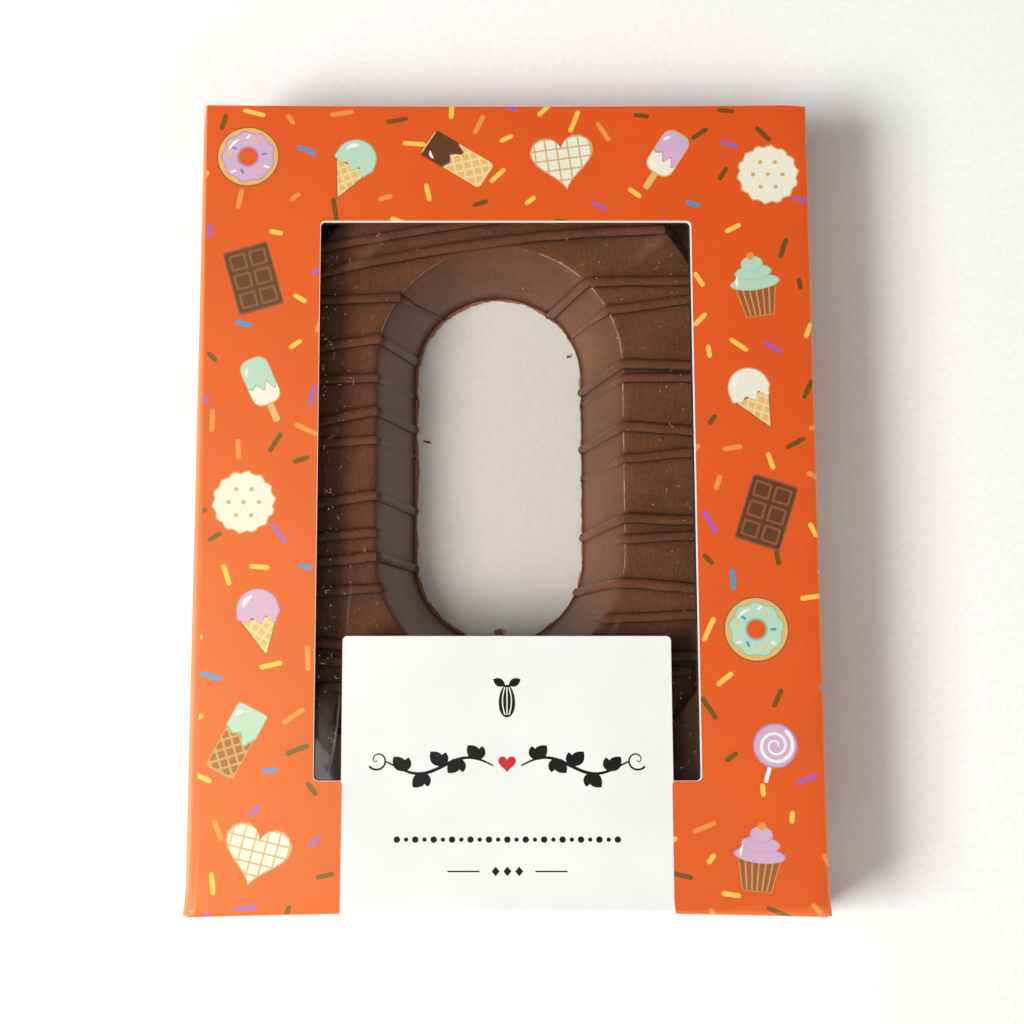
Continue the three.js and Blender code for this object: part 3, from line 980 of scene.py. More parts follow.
def lay_out_sweets(blank, sheet_print, randomly):
    """Draws the sweets on the front one by one from a list and the rest of the sheet in uneven rows"""
    size = setting("print", "motif")
    places = []
    for draw, u, v, degrees, inks in FRONT_SWEETS:
        draw(Motif(sheet_print, u, v, degrees, size), *inks)
        places.append((u, v))
    flap_middle = -(blank.bottom_fold + blank.arc + blank.wall / 2)
    flap_high = blank.top_fold + blank.arc + blank.wall - size
    spots = []
    # One column up each side wall
    column = blank.u2 + (blank.u3 - blank.u2) / 2
    side_low = -66
    side_pace = 22
    for u in (-column, column):
        spots += [(u + randomly.uniform(-1.5, 1.5), side_low + side_pace * row) for row in range(7)]
    # Rows up the back and its flap, every other row half a step over
    back_low = -68
    pace = 21.5
    margin = 4
    stray = 3
    columns = int((blank.u5 - blank.u4) // pace)
    for row in range(8):
        for place in range(columns):
            u = blank.u4 + pace * (place + 0.6 + 0.4 * (row % 2)) - margin
            v = back_low + pace * row
            if v < blank.half_height - margin or blank.back_from < u < blank.back_to:
                spots.append((u + randomly.uniform(-stray, stray), v + randomly.uniform(-stray, stray)))
    # Four along the bottom flap
    for number in range(4):
        spots.append((-46 + 31 * number, flap_middle + 1.2 * (number % 2)))
    for u, v in spots:
        if v > flap_high:
            continue
        draw, _, _, _, inks = FRONT_SWEETS[randomly.randrange(len(FRONT_SWEETS))]
        draw(Motif(sheet_print, u, v, randomly.uniform(-40, 40), size), *inks)
        places.append((u, v))
    return places


def strew_sprinkles(blank, sheet_print, sweets, randomly):
    """Strews sprinkles over the whole sheet, clear of the sweets and of each other"""
    width = setting("print", "sprinkle_width")
    gap = setting("print", "sprinkle_gap")
    clear = setting("print", "motif") / 2 + 1.8
    low = -(blank.bottom_fold + blank.bottom_flap)
    high = blank.top_fold + blank.top_flap
    laid = []
    tries = 6000
    shortest = 2.4
    longest = 5.2
    for _ in range(tries):
        u = randomly.uniform(blank.left_end, blank.u5)
        v = randomly.uniform(low, high)
        if any(math.hypot(u - a, v - b) < clear for a, b in sweets):
            continue
        if any(math.hypot(u - a, v - b) < gap for a, b in laid):
            continue
        laid.append((u, v))
        reach = randomly.uniform(shortest, longest)
        turn = randomly.uniform(0, math.pi)
        ink = randomly.choice(SPRINKLE_INKS)
        sheet_print.add(turned(capsule(reach, width), turn, u, v), ink)


def scroll(start, turns, reach, first_angle, side):
    """A line of points that curls in like a fern"""
    tightness = 0.55
    points = []
    for share in shares(22):
        angle = first_angle + side * turns * 2 * math.pi * share
        radius = reach * (1 - share) ** tightness
        points.append(polar(radius, angle, *start))
    return points


def leaf(u, v, size, degrees, fatness):
    """A pointed leaf"""
    edge = []
    for share in shares(7):
        edge.append((size * share, size * fatness * math.sin(math.pi * share) ** 0.8))
    return turned(edge + [(a, -b) for a, b in edge[-2:0:-1]], math.radians(degrees), u, v)


def draw_label(blank, sheet_print):
    """The plain white label with a small traditional ornament in black and a touch of red"""
    half = setting("carton", "tongue_width") / 2
    top = -setting("carton", "tongue_top")
    bottom = -setting("carton", "window_bottom")
    low = -(blank.bottom_fold + blank.bottom_flap)
    band = half - 0.2
    label = sheet_print.add([
        (-band, low), (band, low), (band, bottom - 0.8), (half + 0.1, bottom), (half + 0.05, top + 0.05),
        (-half - 0.05, top + 0.05), (-half - 0.1, bottom), (-band, bottom - 0.8)], "white_ground")

    def black(points):
        """Adds a field of black ink on the label and gives its number"""
        return sheet_print.add(points, "label_black", label)

    # A cocoa pod over the ornament
    pod_v = -39.1
    pod_wide = 1.55
    pod_tall = 3.1
    turns = [2 * math.pi * step / 26 for step in range(26)]
    pod = [(pod_wide * math.sin(a) * (1 - 0.12 * math.cos(a)), pod_v + pod_tall * math.cos(a))
           for a in turns]
    whole_pod = black(pod)
    for shift in (-0.85, 0.0, 0.85):
        groove = [(shift * math.sin(math.pi * (0.15 + 0.7 * s / 8)), pod_v + 2.6 - 5.2 * s / 8)
                  for s in range(9)]
        sheet_print.add(curved_stroke(groove, [0.22] * len(groove)), "white_ground", whole_pod)
    for side in (-1, 1):
        black(leaf(side * 0.3, pod_v + 2.9, 2.6, 90 - side * 62, 0.3))
    # The garland: a stem to each side with curls and leaves
    garland_v = -51.2
    stem_start = 2.6
    stem_reach = 20.5
    stem_wave = 1.5
    steps = 30

    def on_stem(side, share):
        """A place on one side's stem"""
        u = side * (stem_start + stem_reach * share)
        return u, garland_v + stem_wave * math.sin(2.2 * math.pi * share)

    for side in (-1, 1):
        stem = [on_stem(side, share) for share in shares(steps)]
        widths = [0.28 + 0.34 * math.sin(math.pi * step / steps) for step in range(steps + 1)]
        black(curved_stroke(stem, widths))
        outward = 90 - side * 90
        for share, lift in ((0.12, 1), (0.3, -1), (0.46, 1), (0.62, -1), (0.8, 1)):
            for size, lean, fatness in ((3.6, 48, 0.34), (2.6, 100, 0.3)):
                black(leaf(*on_stem(side, share), size, outward + side * lift * lean, fatness))
        curl = scroll((side * 24.4, garland_v + 1.0), 1.1, 1.9, math.pi / 2 - side * 2.2, -side)
        black(curved_stroke(curl, [0.42 - 0.012 * place for place in range(len(curl))]))
    heart = [(1.7 * a, garland_v + 0.2 + 1.7 * b) for a, b in heart_points(1.0)]
    sheet_print.add(heart, "label_red", label)
    # A row of beads, and two short rules under it with three small diamonds between them
    beads_v = -64.9
    bead_gap = 1.72
    for number in range(-12, 13):
        bead = ring_points(0.42 if number % 2 else 0.62, 12)
        black([(number * bead_gap + a, beads_v + b) for a, b in bead])
    rule_v = -71.0
    for side in (-1, 1):
        black(strip((side * 5.2, rule_v), (side * 11.2, rule_v), 0.3))
    diamond = [(0.75, 0.0), (0.0, 0.95), (-0.75, 0.0), (0.0, -0.95)]
    for shift in (-2.2, 0.0, 2.2):
        black([(shift + a, rule_v + b) for a, b in diamond])


def triangulated_sheet(blank, sheet_print):
    """Cuts the flat sheet into triangles along every outline and crease, each with its ink"""
    points = []
    faces = []
    edges = []

    def add_loop(loop):
        area = sum(a[0] * b[1] - b[0] * a[1] for a, b in ring_pairs(loop))
        loop = loop if area > 0 else loop[::-1]
        first = len(points)
        points.extend(loop)
        faces.append(list(range(first, first + len(loop))))

    add_loop(stepped(blank.outline(), True))
    longest = 4.0
    add_loop(stepped(window_outline(), True, longest))
    # The cut card shows as a white line outside the window, the wider at the top and right
    add_loop(stepped(window_outline(0.15, 0.08), True, longest))
    first_field = len(faces)
    for outline, _, _ in sheet_print.fields:
        add_loop(outline)
    for start, end in blank.creases():
        line = stepped([start, end], False)
        first = len(points)
        points.extend(line)
        edges.extend((first + step, first + step + 1) for step in range(len(line) - 1))
    # Loose points every 5 mm keep the triangles small, so that the sheet can bow
    pace = 5.0
    for column in range(int((blank.u5 - blank.left_end) // pace)):
        for row in range(-20, 21):
            points.append((blank.left_end + pace * (column + 0.5), pace * row + 0.37))
    flat = [Vector(point) for point in points]
    # The first three faces are the sheet, the window and the cut card, and the fields follow
    corners, _, triangles, _, _, sources = delaunay_2d_cdt(flat, edges, faces, 1, 1e-4)
    kept = []
    inks = []
    for triangle, source in zip(triangles, sources):
        within = set(source)
        if 0 not in within or 1 in within:
            continue
        ink = "raw_edge" if 2 in within else "orange_ground"
        for number in sorted(within, reverse=True):
            if number < first_field or ink == "raw_edge":
                break
            _, field_ink, inside = sheet_print.fields[number - first_field]
            if inside is None or inside + first_field in within:
                ink = field_ink
                break
        kept.append(triangle)
        inks.append(ink)
    return corners, kept, inks


def fold_sheet(blank, corners, triangles, inks, materials):
    """Folds the printed sheet into the carton and gives it its thickness"""
    used = sorted({corner for triangle in triangles for corner in triangle})
    renumbered = {corner: number for number, corner in enumerate(used)}
    outer = []
    inner = []
    for corner in used:
        u, v = corners[corner]
        place, normal = blank.fold(u, v)
        outer.append(blank.settle(place))
        inner.append(blank.settle(place - blank.card * normal))
    count = len(used)
    names = list(materials)
    faces = []
    finishes = []
    open_edges = {}
    for triangle, ink in zip(triangles, inks):
        a, b, c = (renumbered[corner] for corner in triangle)
        faces.append((a, b, c))
        finishes.append(names.index(ink))
        faces.append((c + count, b + count, a + count))
        finishes.append(names.index("inside_board"))
        # An edge that no other triangle shares gets a wall of raw card
        for start, end in ((a, b), (b, c), (c, a)):
            if (end, start) in open_edges:
                del open_edges[(end, start)]
            else:
                open_edges[(start, end)] = True
    for start, end in open_edges:
        faces.append((end, start, start + count, end + count))
        finishes.append(names.index("raw_edge"))
    return mesh_piece("folded_carton", outer + inner, faces, list(materials.values()), finishes, 35)


class SWEET_OT_carton(bpy.types.Operator):
    """Builds the folded carton with its print"""
    bl_idname = "sweet.carton"
    bl_label = "Carton"

    def execute(self, context):
        settings = context.scene.sweet_print
        randomly = random.Random(settings.seed)
        blank = Blank()
        sheet_print = Print()
        draft = Print()
        # The sprinkles keep clear of the sweets, so they are strewn second, but they lie under them
        sweets = lay_out_sweets(blank, draft, randomly)
        strew_sprinkles(blank, sheet_print, sweets, randomly)
        shift = len(sheet_print.fields)
        for points, ink, inside in draft.fields:
            sheet_print.add(points, ink, None if inside is None else inside + shift)
        draw_label(blank, sheet_print)
        # The panel is painted a paler orange along its left crease as the crease's highlight, the wider the
        # lower, and the print has come off the crease's top end
        edge = -blank.u1
        top = blank.half_height - 0.05
        for ink, reach in (("faint_crease_highlight_orange", 1.0), ("crease_highlight_orange", 0.3)):
            sheet_print.add([(-blank.u2, top), (-blank.u2, -top), (edge + 1.2 * reach, -top),
                             (edge + 1.1 * reach, -30.0), (edge + 0.8 * reach, 5.0),
                             (edge + 0.4 * reach, 35.0), (edge, top)], ink)
        crease = edge - 0.55 * blank.arc
        patches = {
            "crease_wear_and_highlight": [(-0.2, 0.0), (0.0, 5.5), (0.25, 2.6), (0.45, 0.0)],
            "bared_card": [(-0.05, 0.0), (0.05, 3.0), (0.25, 0.0)],
            "scuffed_corner": [(-0.35, 0.0), (-0.3, 0.5), (0.1, 0.0)],
        }
        for ink, outline in patches.items():
            sheet_print.add([(crease + u, top - down) for u, down in outline], ink)
        # A pale spot is painted at the bottom left corner as a highlight
        spot = [(0.1, 1.1), (0.9, 0.7), (1.3, 1.0), (0.8, 1.3)]
        sheet_print.add([(edge + u, -top + up) for u, up in spot], "crease_wear_and_highlight")
        warm = linear("#FFF989")
        ground = printed_card_material("printed_orange_card", settings.orange, 1.0, warm)
        materials = {"orange_ground": ground}
        for name, hex_code in INKS.items():
            # The label's inks, the inks where the crease's print has come off and the paler inks painted as
            # the crease's highlights have less varnish than the pattern
            look = (0.2, WHITE) if name in DULL_INKS else (1.0, warm)
            materials[name] = printed_card_material("printed_" + name, linear(hex_code), *look)
        materials["raw_edge"] = raw_card_material("raw_white_card_edge", linear("#F4EFE8"))
        materials["inside_board"] = raw_card_material("uncoated_pale_board", linear("#E7E3D7"))
        corners, triangles, inks = triangulated_sheet(blank, sheet_print)
        carton = fold_sheet(blank, corners, triangles, inks, materials)
        dress(carton, "carton")
        return {"FINISHED"}


# The window film

class SWEET_OT_film(bpy.types.Operator):
    """Builds the clear film behind the window"""
    bl_idname = "sweet.film"
    bl_label = "Film"

    def execute(self, context):
        thickness = setting("film", "thickness")
        ripple = setting("film", "ripple")
        dip = setting("film", "dip")
        columns = 60
        rows = 84
        ripple_size = (17, 26)
        # The film sinks along a line by the window's left edge, from a height downwards
        dip_line = -38.5
        dip_reach = 5.5
        dip_from = -37
        dip_run = 13
        points = []
        for layer in (0.0, thickness):
            for row in range(rows + 1):
                for column in range(columns + 1):
                    x = FILM_LOW.x + (FILM_HIGH.x - FILM_LOW.x) * column / columns
                    y = FILM_LOW.y + (FILM_HIGH.y - FILM_LOW.y) * row / rows
                    lift = ripple * wander(x / ripple_size[0], y / ripple_size[1], 3.3)
                    # The sunk corner turns the film's mirror towards the softbox
                    across = math.exp(-((x - dip_line) / dip_reach) ** 2)
                    along = clamped((dip_from - y) / dip_run)
                    sunk = dip * across * along * along * (3 - 2 * along)
                    points.append((x, y, FILM_HIGH.z - ripple - thickness + layer + lift - sunk))
        faces = []
        wide = columns + 1
        top = wide * (rows + 1)
        for row in range(rows):
            for column in range(columns):
                a = row * wide + column
                faces.append((a + wide, a + wide + 1, a + 1, a))
                faces.append((top + a, top + a + 1, top + a + wide + 1, top + a + wide))
        rim = list(range(columns)) + [columns + wide * row for row in range(rows)]
        rim += [wide * rows + column for column in range(columns, 0, -1)]
        rim += [wide * row for row in range(rows, 0, -1)]
        for a, b in ring_pairs(rim):
            faces.append((a, b, b + top, a + top))
        film = mesh_piece("clear_window_film", points, faces, [clear_film_material()], smooth_angle=30)
        dress(film, "window_film")
        # Painted shadow: a dark strip on top of the film runs round the window's edge, from under the panel
        # to a little inside the window, the wider at the right, and stands for the shade under the panel's
        # edge
        hidden = window_outline(0.35)
        wider = 0.24
        shown = [(x - (wider if x > 30 else 0.0), y) for x, y in window_outline(-0.13)]
        level = FILM_HIGH.z + 0.1
        rim = [Vector((x, y, level)) for x, y in hidden + shown]
        count = len(hidden)
        sides = [(turn, count + turn, count + beside, beside)
                 for turn, beside in ring_pairs(list(range(count)))]
        edge_shadow = dull_patchy_material("painted_window_edge_shadow", linear("#1C1613"))
        dress(mesh_piece("painted_window_edge_shadow_strip", rim, sides, [edge_shadow]), None)
        return {"FINISHED"}


# Small things on and in the pack

def at_pixel(column, row, height):
    """Where a reading in the photograph's 1024 pixel frame lies, at a height over the floor"""
    focal = CAMERA_LENS / CAMERA_SENSOR * FRAME_PIXELS
    tilt = math.radians(CAMERA_TILT)
    right = (column - FRAME_PIXELS / 2 + CAMERA_SHIFT * FRAME_PIXELS) / focal
    up = (FRAME_PIXELS / 2 - row) / focal
    ray = Vector((right, up * math.cos(tilt) + math.sin(tilt), up * math.sin(tilt) - math.cos(tilt)))
    eye = Vector(CAMERA_PLACE) / MM
    spot = eye + ray * ((height - eye.z) / ray.z)
    return spot.x, spot.y


def tube(points, radius, sides=5):
    """The corners and faces of a thin thread through points, slimmer at its tips"""
    tip = 0.55
    corners = []
    for number, point in enumerate(points):
        before, after = neighbours(points, number)
        along = (after - before).normalized()
        across = along.cross(Vector((0.0, 0.0, 1.0))).normalized()
        up = across.cross(along)
        slim = radius * (tip if number in (0, len(points) - 1) else 1.0)
        for side in range(sides):
            angle = 2 * math.pi * side / sides
            corners.append(point + across * slim * math.cos(angle) + up * slim * math.sin(angle))
    return corners, tube_faces(len(points), sides)


def crumb(centre, half_sizes, turn, randomly):
    """The corners and faces of a small broken bit"""
    corners = []
    for z in (-1, 1):
        for x, y in ((-1, -1), (1, -1), (1, 1), (-1, 1)):
            u = x * half_sizes[0] * randomly.uniform(0.6, 1.15)
            v = y * half_sizes[1] * randomly.uniform(0.6, 1.15)
            w = z * half_sizes[2] * randomly.uniform(0.7, 1.0)
            corners.append(centre + Vector((*turned([(u, v)], turn)[0], w)))
    faces = [(3, 2, 1, 0), (4, 5, 6, 7), (0, 1, 5, 4), (1, 2, 6, 5), (2, 3, 7, 6), (3, 0, 4, 7)]
    return corners, faces


def gathered(name, parts, material):
    """Joins many small forms into one piece"""
    points = []
    faces = []
    for corners, sides in parts:
        first = len(points)
        points.extend(corners)
        faces.extend(tuple(first + corner for corner in side) for side in sides)
    return mesh_piece(name, points, faces, [material])


def dull_patchy_material(name, rgba):
    """A dull matt material of patchy tone, for the pale static-held shavings and lint, the crumbs, and the
    painted edge shadow and ridge highlight
    """
    material, tree, place = new_material(name)
    shade = varied_colour(tree, place, shaded(rgba, 0.6), shaded(rgba, 1.3), scale=1 / 0.0025)
    skin = add_node(tree, "BsdfPrincipled", {"Base Color": shade, "Roughness": 0.7, "IOR": 1.5})
    add_node(tree, "OutputMaterial", {"Surface": skin})
    return material


def faded_ends(tree, share):
    """A node that rises from nothing at 0 to one at a half and falls again to nothing at 1"""
    rest = add_node(tree, "Math", {0: 1.0, 1: share}, operation="SUBTRACT")
    arch = add_node(tree, "Math", {0: share, 1: rest}, operation="MULTIPLY")
    return add_node(tree, "Math", {0: arch, 1: 4.0}, operation="MULTIPLY")


def painted_glare_material(name, strength):
    """Painted glare and reflection on the film: clear plastic with a faint pale matt share that fades at its
    edges
    """
    material, tree, place = new_material(name)
    # The painted glare's strength is patchy over about 4 mm
    cloud = add_node(tree, "TexNoise", {"Vector": place, "Scale": 1 / 0.004, "Detail": 2.0})
    patches = add_node(tree, "MapRange", {
        "Value": cloud, "From Min": 0.3, "From Max": 0.7, "To Min": strength * 0.6, "To Max": strength})
    # The mark's own map runs from 0 to 1 across it and along it
    own_map = add_node(tree, "SeparateXYZ", {"Vector": place.node.outputs["UV"]})
    across = faded_ends(tree, own_map.outputs["X"])
    along = faded_ends(tree, own_map.outputs["Y"])
    inside = add_node(tree, "Math", {0: across, 1: along}, operation="MULTIPLY")
    share = add_node(tree, "Math", {0: patches, 1: inside}, operation="MULTIPLY")
    clear = add_node(tree, "BsdfTransparent", {"Color": WHITE})
    painted_glare = add_node(tree, "BsdfDiffuse", {"Color": linear("#F3D7C4")})
    mixed = add_node(tree, "MixShader", {0: share, 1: clear, 2: painted_glare})
    add_node(tree, "OutputMaterial", {"Surface": mixed})
    return material


# Painted glare and reflection streaks on the film, read in the photograph: places in pixels, the width in
# millimetres, the strength of the painted glare
FILM_GLARE_STREAKS = [
    ([(351, 578), (350, 595), (348, 615), (347, 636)], 0.6, 0.08),
    ([(340, 690), (338.5, 708), (337.5, 723), (334, 745), (330, 766), (327.5, 780), (321, 808)], 0.6, 0.14),
    ([(323, 690), (323, 720), (324, 752), (325, 812)], 5.2, 0.075),
    ([(626, 266), (640, 255), (654, 244), (672, 229)], 3.0, 0.045),
    ([(348, 272), (362, 258), (374, 246), (386, 234)], 3.0, 0.04),
    ([(606, 642), (614, 630), (620, 617), (625, 602)], 1.6, 0.03),
]

# Bits of chocolate: place in pixels, height over the floor, half sizes in millimetres, turn in degrees
CRUMBS = [
    ((427, 442), 0.75, (0.85, 0.22, 0.16), -16),
    ((568, 357), 0.8, (0.42, 0.3, 0.2), 20),
    ((498, 632), 0.95, (0.75, 0.5, 0.4), 10),
    ((604, 545), 5.6, (0.3, 0.3, 0.15), 10),
    ((609, 541), 6.2, (0.16, 0.12, 0.1), 40),
    ((625, 388), 12.3, (0.2, 0.2, 0.14), 0),
    ((625, 441), 12.3, (0.17, 0.2, 0.14), 30),
    ((365, 551), 12.85, (0.28, 0.7, 0.14), 5),
    ((402, 386), 4.5, (0.5, 0.14, 0.1), -20),
    ((582, 478), 1.8, (0.4, 0.36, 0.3), 15),
]


class SWEET_OT_bits(bpy.types.Operator):
    """Strews shavings and lint along the window and lays a few crumbs"""
    bl_idname = "sweet.bits"
    bl_label = "Bits"

    def execute(self, context):
        randomly = random.Random(7)
        level = FILM_HIGH.z + 0.04
        low = -setting("carton", "window_bottom") + 1
        high = setting("carton", "window_top") - 1
        side = setting("carton", "window_width") / 2 - 0.6
        label = setting("carton", "tongue_width") / 2 + 0.4
        label_top = -setting("carton", "tongue_top") + 0.5
        left_spread = 3.5
        right_spread = 3.2
        top_spread = 9
        shavings = []
        count = context.scene.sweet_film.specks
        # About half of the shavings lie along the window's left edge, a fifth along its right edge
        # and a tenth along its top. Half are specks, and the rest are short bent threads.
        while len(shavings) < count:
            pull = randomly.random()
            if pull < 0.5:
                x = -side + abs(randomly.gauss(0, left_spread))
            elif pull < 0.7:
                x = side - abs(randomly.gauss(0, right_spread))
            else:
                x = randomly.uniform(-side, side)
            y = high - abs(randomly.gauss(0, top_spread)) if 0.9 < pull else randomly.uniform(low, high)
            if abs(x) > side or y < low or (abs(x) < label and y < label_top):
                continue
            reach = randomly.choice((0.0, 0.0, 0.0, 0.3, 0.5, 0.9))
            turn = randomly.uniform(0, 2 * math.pi)
            centre = Vector((x, y, level))
            if reach == 0.0:
                size = randomly.uniform(0.04, 0.1)
                shavings.append(crumb(centre, (size, size, 0.03), turn, randomly))
                continue
            bend = randomly.uniform(-1.8, 1.8)
            points = []
            heading = turn
            spot = centre.copy()
            legs = 6
            for _ in range(legs):
                points.append(spot.copy())
                spot += Vector((math.cos(heading), math.sin(heading), 0.0)) * reach / (legs - 1)
                heading += bend / legs
            shavings.append(tube(points, randomly.uniform(0.022, 0.04)))
        tan = dull_patchy_material("pale_chocolate_shavings", linear("#BCA28C"))
        dress(gathered("film_shavings", shavings, tan), None)
        bits = []
        for (column, row), height, half_sizes, turn in CRUMBS:
            x, y = at_pixel(column, row, height)
            bits.append(crumb(Vector((x, y, height)), half_sizes, math.radians(turn), randomly))
        brown = dull_patchy_material("milk_chocolate_crumbs", linear("#8C5C44"))
        dress(gathered("chocolate_crumbs", bits, brown), None)
        return {"FINISHED"}


class SWEET_OT_marks(bpy.types.Operator):
    """Draws the painted glare and reflection streaks on the film"""
    bl_idname = "sweet.marks"
    bl_label = "Film marks"

    def execute(self, context):
        for number, (pixels, width, strength) in enumerate(FILM_GLARE_STREAKS):
            level = FILM_HIGH.z + 0.02 + 0.012 * number
            line = [Vector((*at_pixel(*pixel, FILM_HIGH.z), level)) for pixel in pixels]
            left = []
            right = []
            for place, point in enumerate(line):
                before, after = neighbours(line, place)
                along = (after - before).normalized()
                beside = Vector((-along.y, along.x, 0.0)) * width / 2
                left.append(point + beside)
                right.append(point - beside)
            count = len(line)
            faces = [(step, count + step, count + step + 1, step + 1) for step in range(count - 1)]
            painted_glare = painted_glare_material(f"painted_film_glare_{number}", strength)
            mark = mesh_piece(f"film_glare_streak_{number}", left + right, faces, [painted_glare])
            layer = mark.data.uv_layers.new(name="strip")
            for loop in mark.data.loops:
                corner = loop.vertex_index
                layer.data[loop.index].uv = (0.0 if corner < count else 1.0, corner % count / (count - 1))
            dress(mark, None)
        return {"FINISHED"}


# The letter

def letter_stations(arc_steps=92, straight_steps=37):
    """Places round the letter's middle line: where a section stands and which way it faces"""
    centre = Vector(((LETTER_LOW.x + LETTER_HIGH.x) / 2, (LETTER_LOW.y + LETTER_HIGH.y) / 2))
    foot = (LETTER_HIGH.x - LETTER_LOW.x) / 2
    half = (LETTER_HIGH.y - LETTER_LOW.y) / 2 - foot
    stations = []
    for end in (1, -1):
        first = 0 if end > 0 else math.pi
        for step in range(arc_steps + 1):
            angle = first + math.pi * step / arc_steps
            facing = Vector((math.cos(angle), math.sin(angle)))
            stations.append((Vector((centre.x, centre.y + end * half)), facing))
        for step in range(1, straight_steps):
            y = centre.y + end * half * (1 - 2 * step / straight_steps)
            stations.append((Vector((centre.x, y)), Vector((-end, 0.0))))
    return stations, centre, half, foot


class LetterForm:
    """The letter's sizes in millimetres and its surface"""

    def __init__(self):
        self.stations, self.centre, self.half, self.foot = letter_stations()
        self.rim = setting("letter", "rim_radius")
        self.inner = setting("letter", "inner_ridge")
        self.outer = setting("letter", "outer_ridge")
        self.thickness = setting("letter", "thickness")
        self.lip = setting("letter", "lip")
        self.base = LETTER_LOW.z
        # The strands end on the outer slope, this far from the middle line
        self.strand_end = self.foot - 1.0

    def distance(self, x, y):
        """How far a point in plan lies from the letter's middle line"""
        beyond = max(abs(y - self.centre.y) - self.half, 0.0)
        return math.hypot(x - self.centre.x, beyond)

    def height(self, distance):
        """The surface's height over the letter's back"""
        if distance < self.inner:
            share = (max(distance, self.rim) - self.rim) / (self.inner - self.rim)
            return self.lip + share * (self.thickness - self.lip)
        if distance > self.outer:
            share = (self.foot - min(distance, self.foot)) / (self.foot - self.outer)
            return self.lip + share * (self.thickness - self.lip)
        return self.thickness

    def section(self):
        """The section across one stroke: distance and height, round from the hole's foot"""
        soft = 0.5
        points = [(self.rim, 0.0), (self.rim - 0.12, 0.25), (self.rim, self.lip)]
        slope = 6
        for step in range(1, slope + 1):
            distance = self.rim + (self.inner - soft - self.rim) * step / slope
            points.append((distance, self.height(distance)))
        # The ridges round over softly, the inner one more than the outer one
        points += [(self.inner - 0.2, self.thickness - 0.36), (self.inner, self.thickness - 0.17)]
        points += [(self.inner + 0.35, self.thickness - 0.08), (self.inner + 0.75, self.thickness - 0.02)]
        face = 12
        for step in range(face + 1):
            distance = self.inner + 1.05 + (self.outer - self.inner - 1.05 - soft) * step / face
            points.append((distance, self.thickness))
        points += [(self.outer - 0.12, self.thickness - 0.09), (self.outer + 0.12, self.thickness - 0.42)]
        for step in range(1, slope + 1):
            distance = self.outer + 0.3 + (self.foot - self.outer - 0.3) * step / slope
            points.append((distance, self.height(distance)))
        points.append((self.foot, 0.0))
        return points


def letter_body(form, material):
    """The moulded letter without its strands"""
    section = form.section()
    # The moulded faces wave very little, over about 9 mm
    wave_size = 9
    points = []
    for distance, height in section:
        for anchor, facing in form.stations:
            place = anchor + facing * distance
            uneven = 0.05 * wander(place.x / wave_size, place.y / wave_size, height / wave_size)
            lift = uneven if 0.0 < height else 0.0
            points.append((place.x, place.y, form.base + max(0.0, height + lift)))
    faces = ring_faces([*range(len(section)), 0], len(form.stations))
    return mesh_piece("moulded_letter", points, [face[::-1] for face in faces], [material])


THICK = "thick_strand"
THIN = "thin_strand"

# Strands from the foot over the face and down to the hole: the side, the heights along Y at
# x = 36 mm, at the inner ridge and at the rim, and the kind. With no rim the strand fades out.
SIDE_STRANDS = [
    (-1, 40.4, 41.1, 39.9, THIN), (-1, 30.9, 32.7, 30.5, THICK), (-1, 24.2, 24.8, 23.2, THIN),
    (-1, 15.8, 18.2, 16.5, THICK), (-1, 11.6, 12.2, 10.9, THIN), (-1, -0.4, 1.4, -0.3, THICK),
    (-1, -7.1, -6.1, None, THIN), (-1, -12.0, -10.8, -11.9, THICK), (-1, -17.8, -17.1, None, THIN),
    (1, 44.6, 44.2, 40.5, THICK), (1, 40.5, 38.4, 35.9, THIN), (1, 27.2, 27.6, 24.2, THICK),
    (1, 24.8, 24.6, 21.5, THIN), (1, 14.1, 15.1, 12.4, THICK), (1, 9.7, 8.5, 6.2, THIN),
    (1, -3.8, -3.2, -5.6, THICK), (1, -6.7, -7.5, None, THIN), (1, -17.1, -15.9, -16.7, THICK),
    (1, -22.3, -23.1, None, THIN),
]

# Strands across the letter's two ends: the heights at x = -36 and 36 mm, the bow and the kind
CROSS_STRANDS = [
    (62.5, 70.5, 0.8, THIN), (57.0, 66.5, 1.2, THICK), (51.4, 61.5, 1.0, THIN), (46.2, 55.0, 2.2, THICK),
    (-27.7, -30.2, -0.8, THICK), (-31.0, -33.1, -0.6, THIN), (-36.2, -39.5, 0.6, THICK),
    (-43.0, -43.6, -0.5, THIN), (-48.0, -50.0, 0.5, THICK),
]
READING_X = 36.0


def eased_line(points, pace):
    """Straight legs through points in plan, with a point every pace and soft bends"""
    result = []
    for start, end in zip(points, points[1:]):
        count = max(1, round((end - start).length / pace))
        result += [start.lerp(end, step / count) for step in range(count)]
    result.append(points[-1])
    for _ in range(5):
        inner = [(a + 2 * b + c) / 4 for a, b, c in zip(result, result[1:], result[2:])]
        result = [result[0], *inner, result[-1]]
    return result


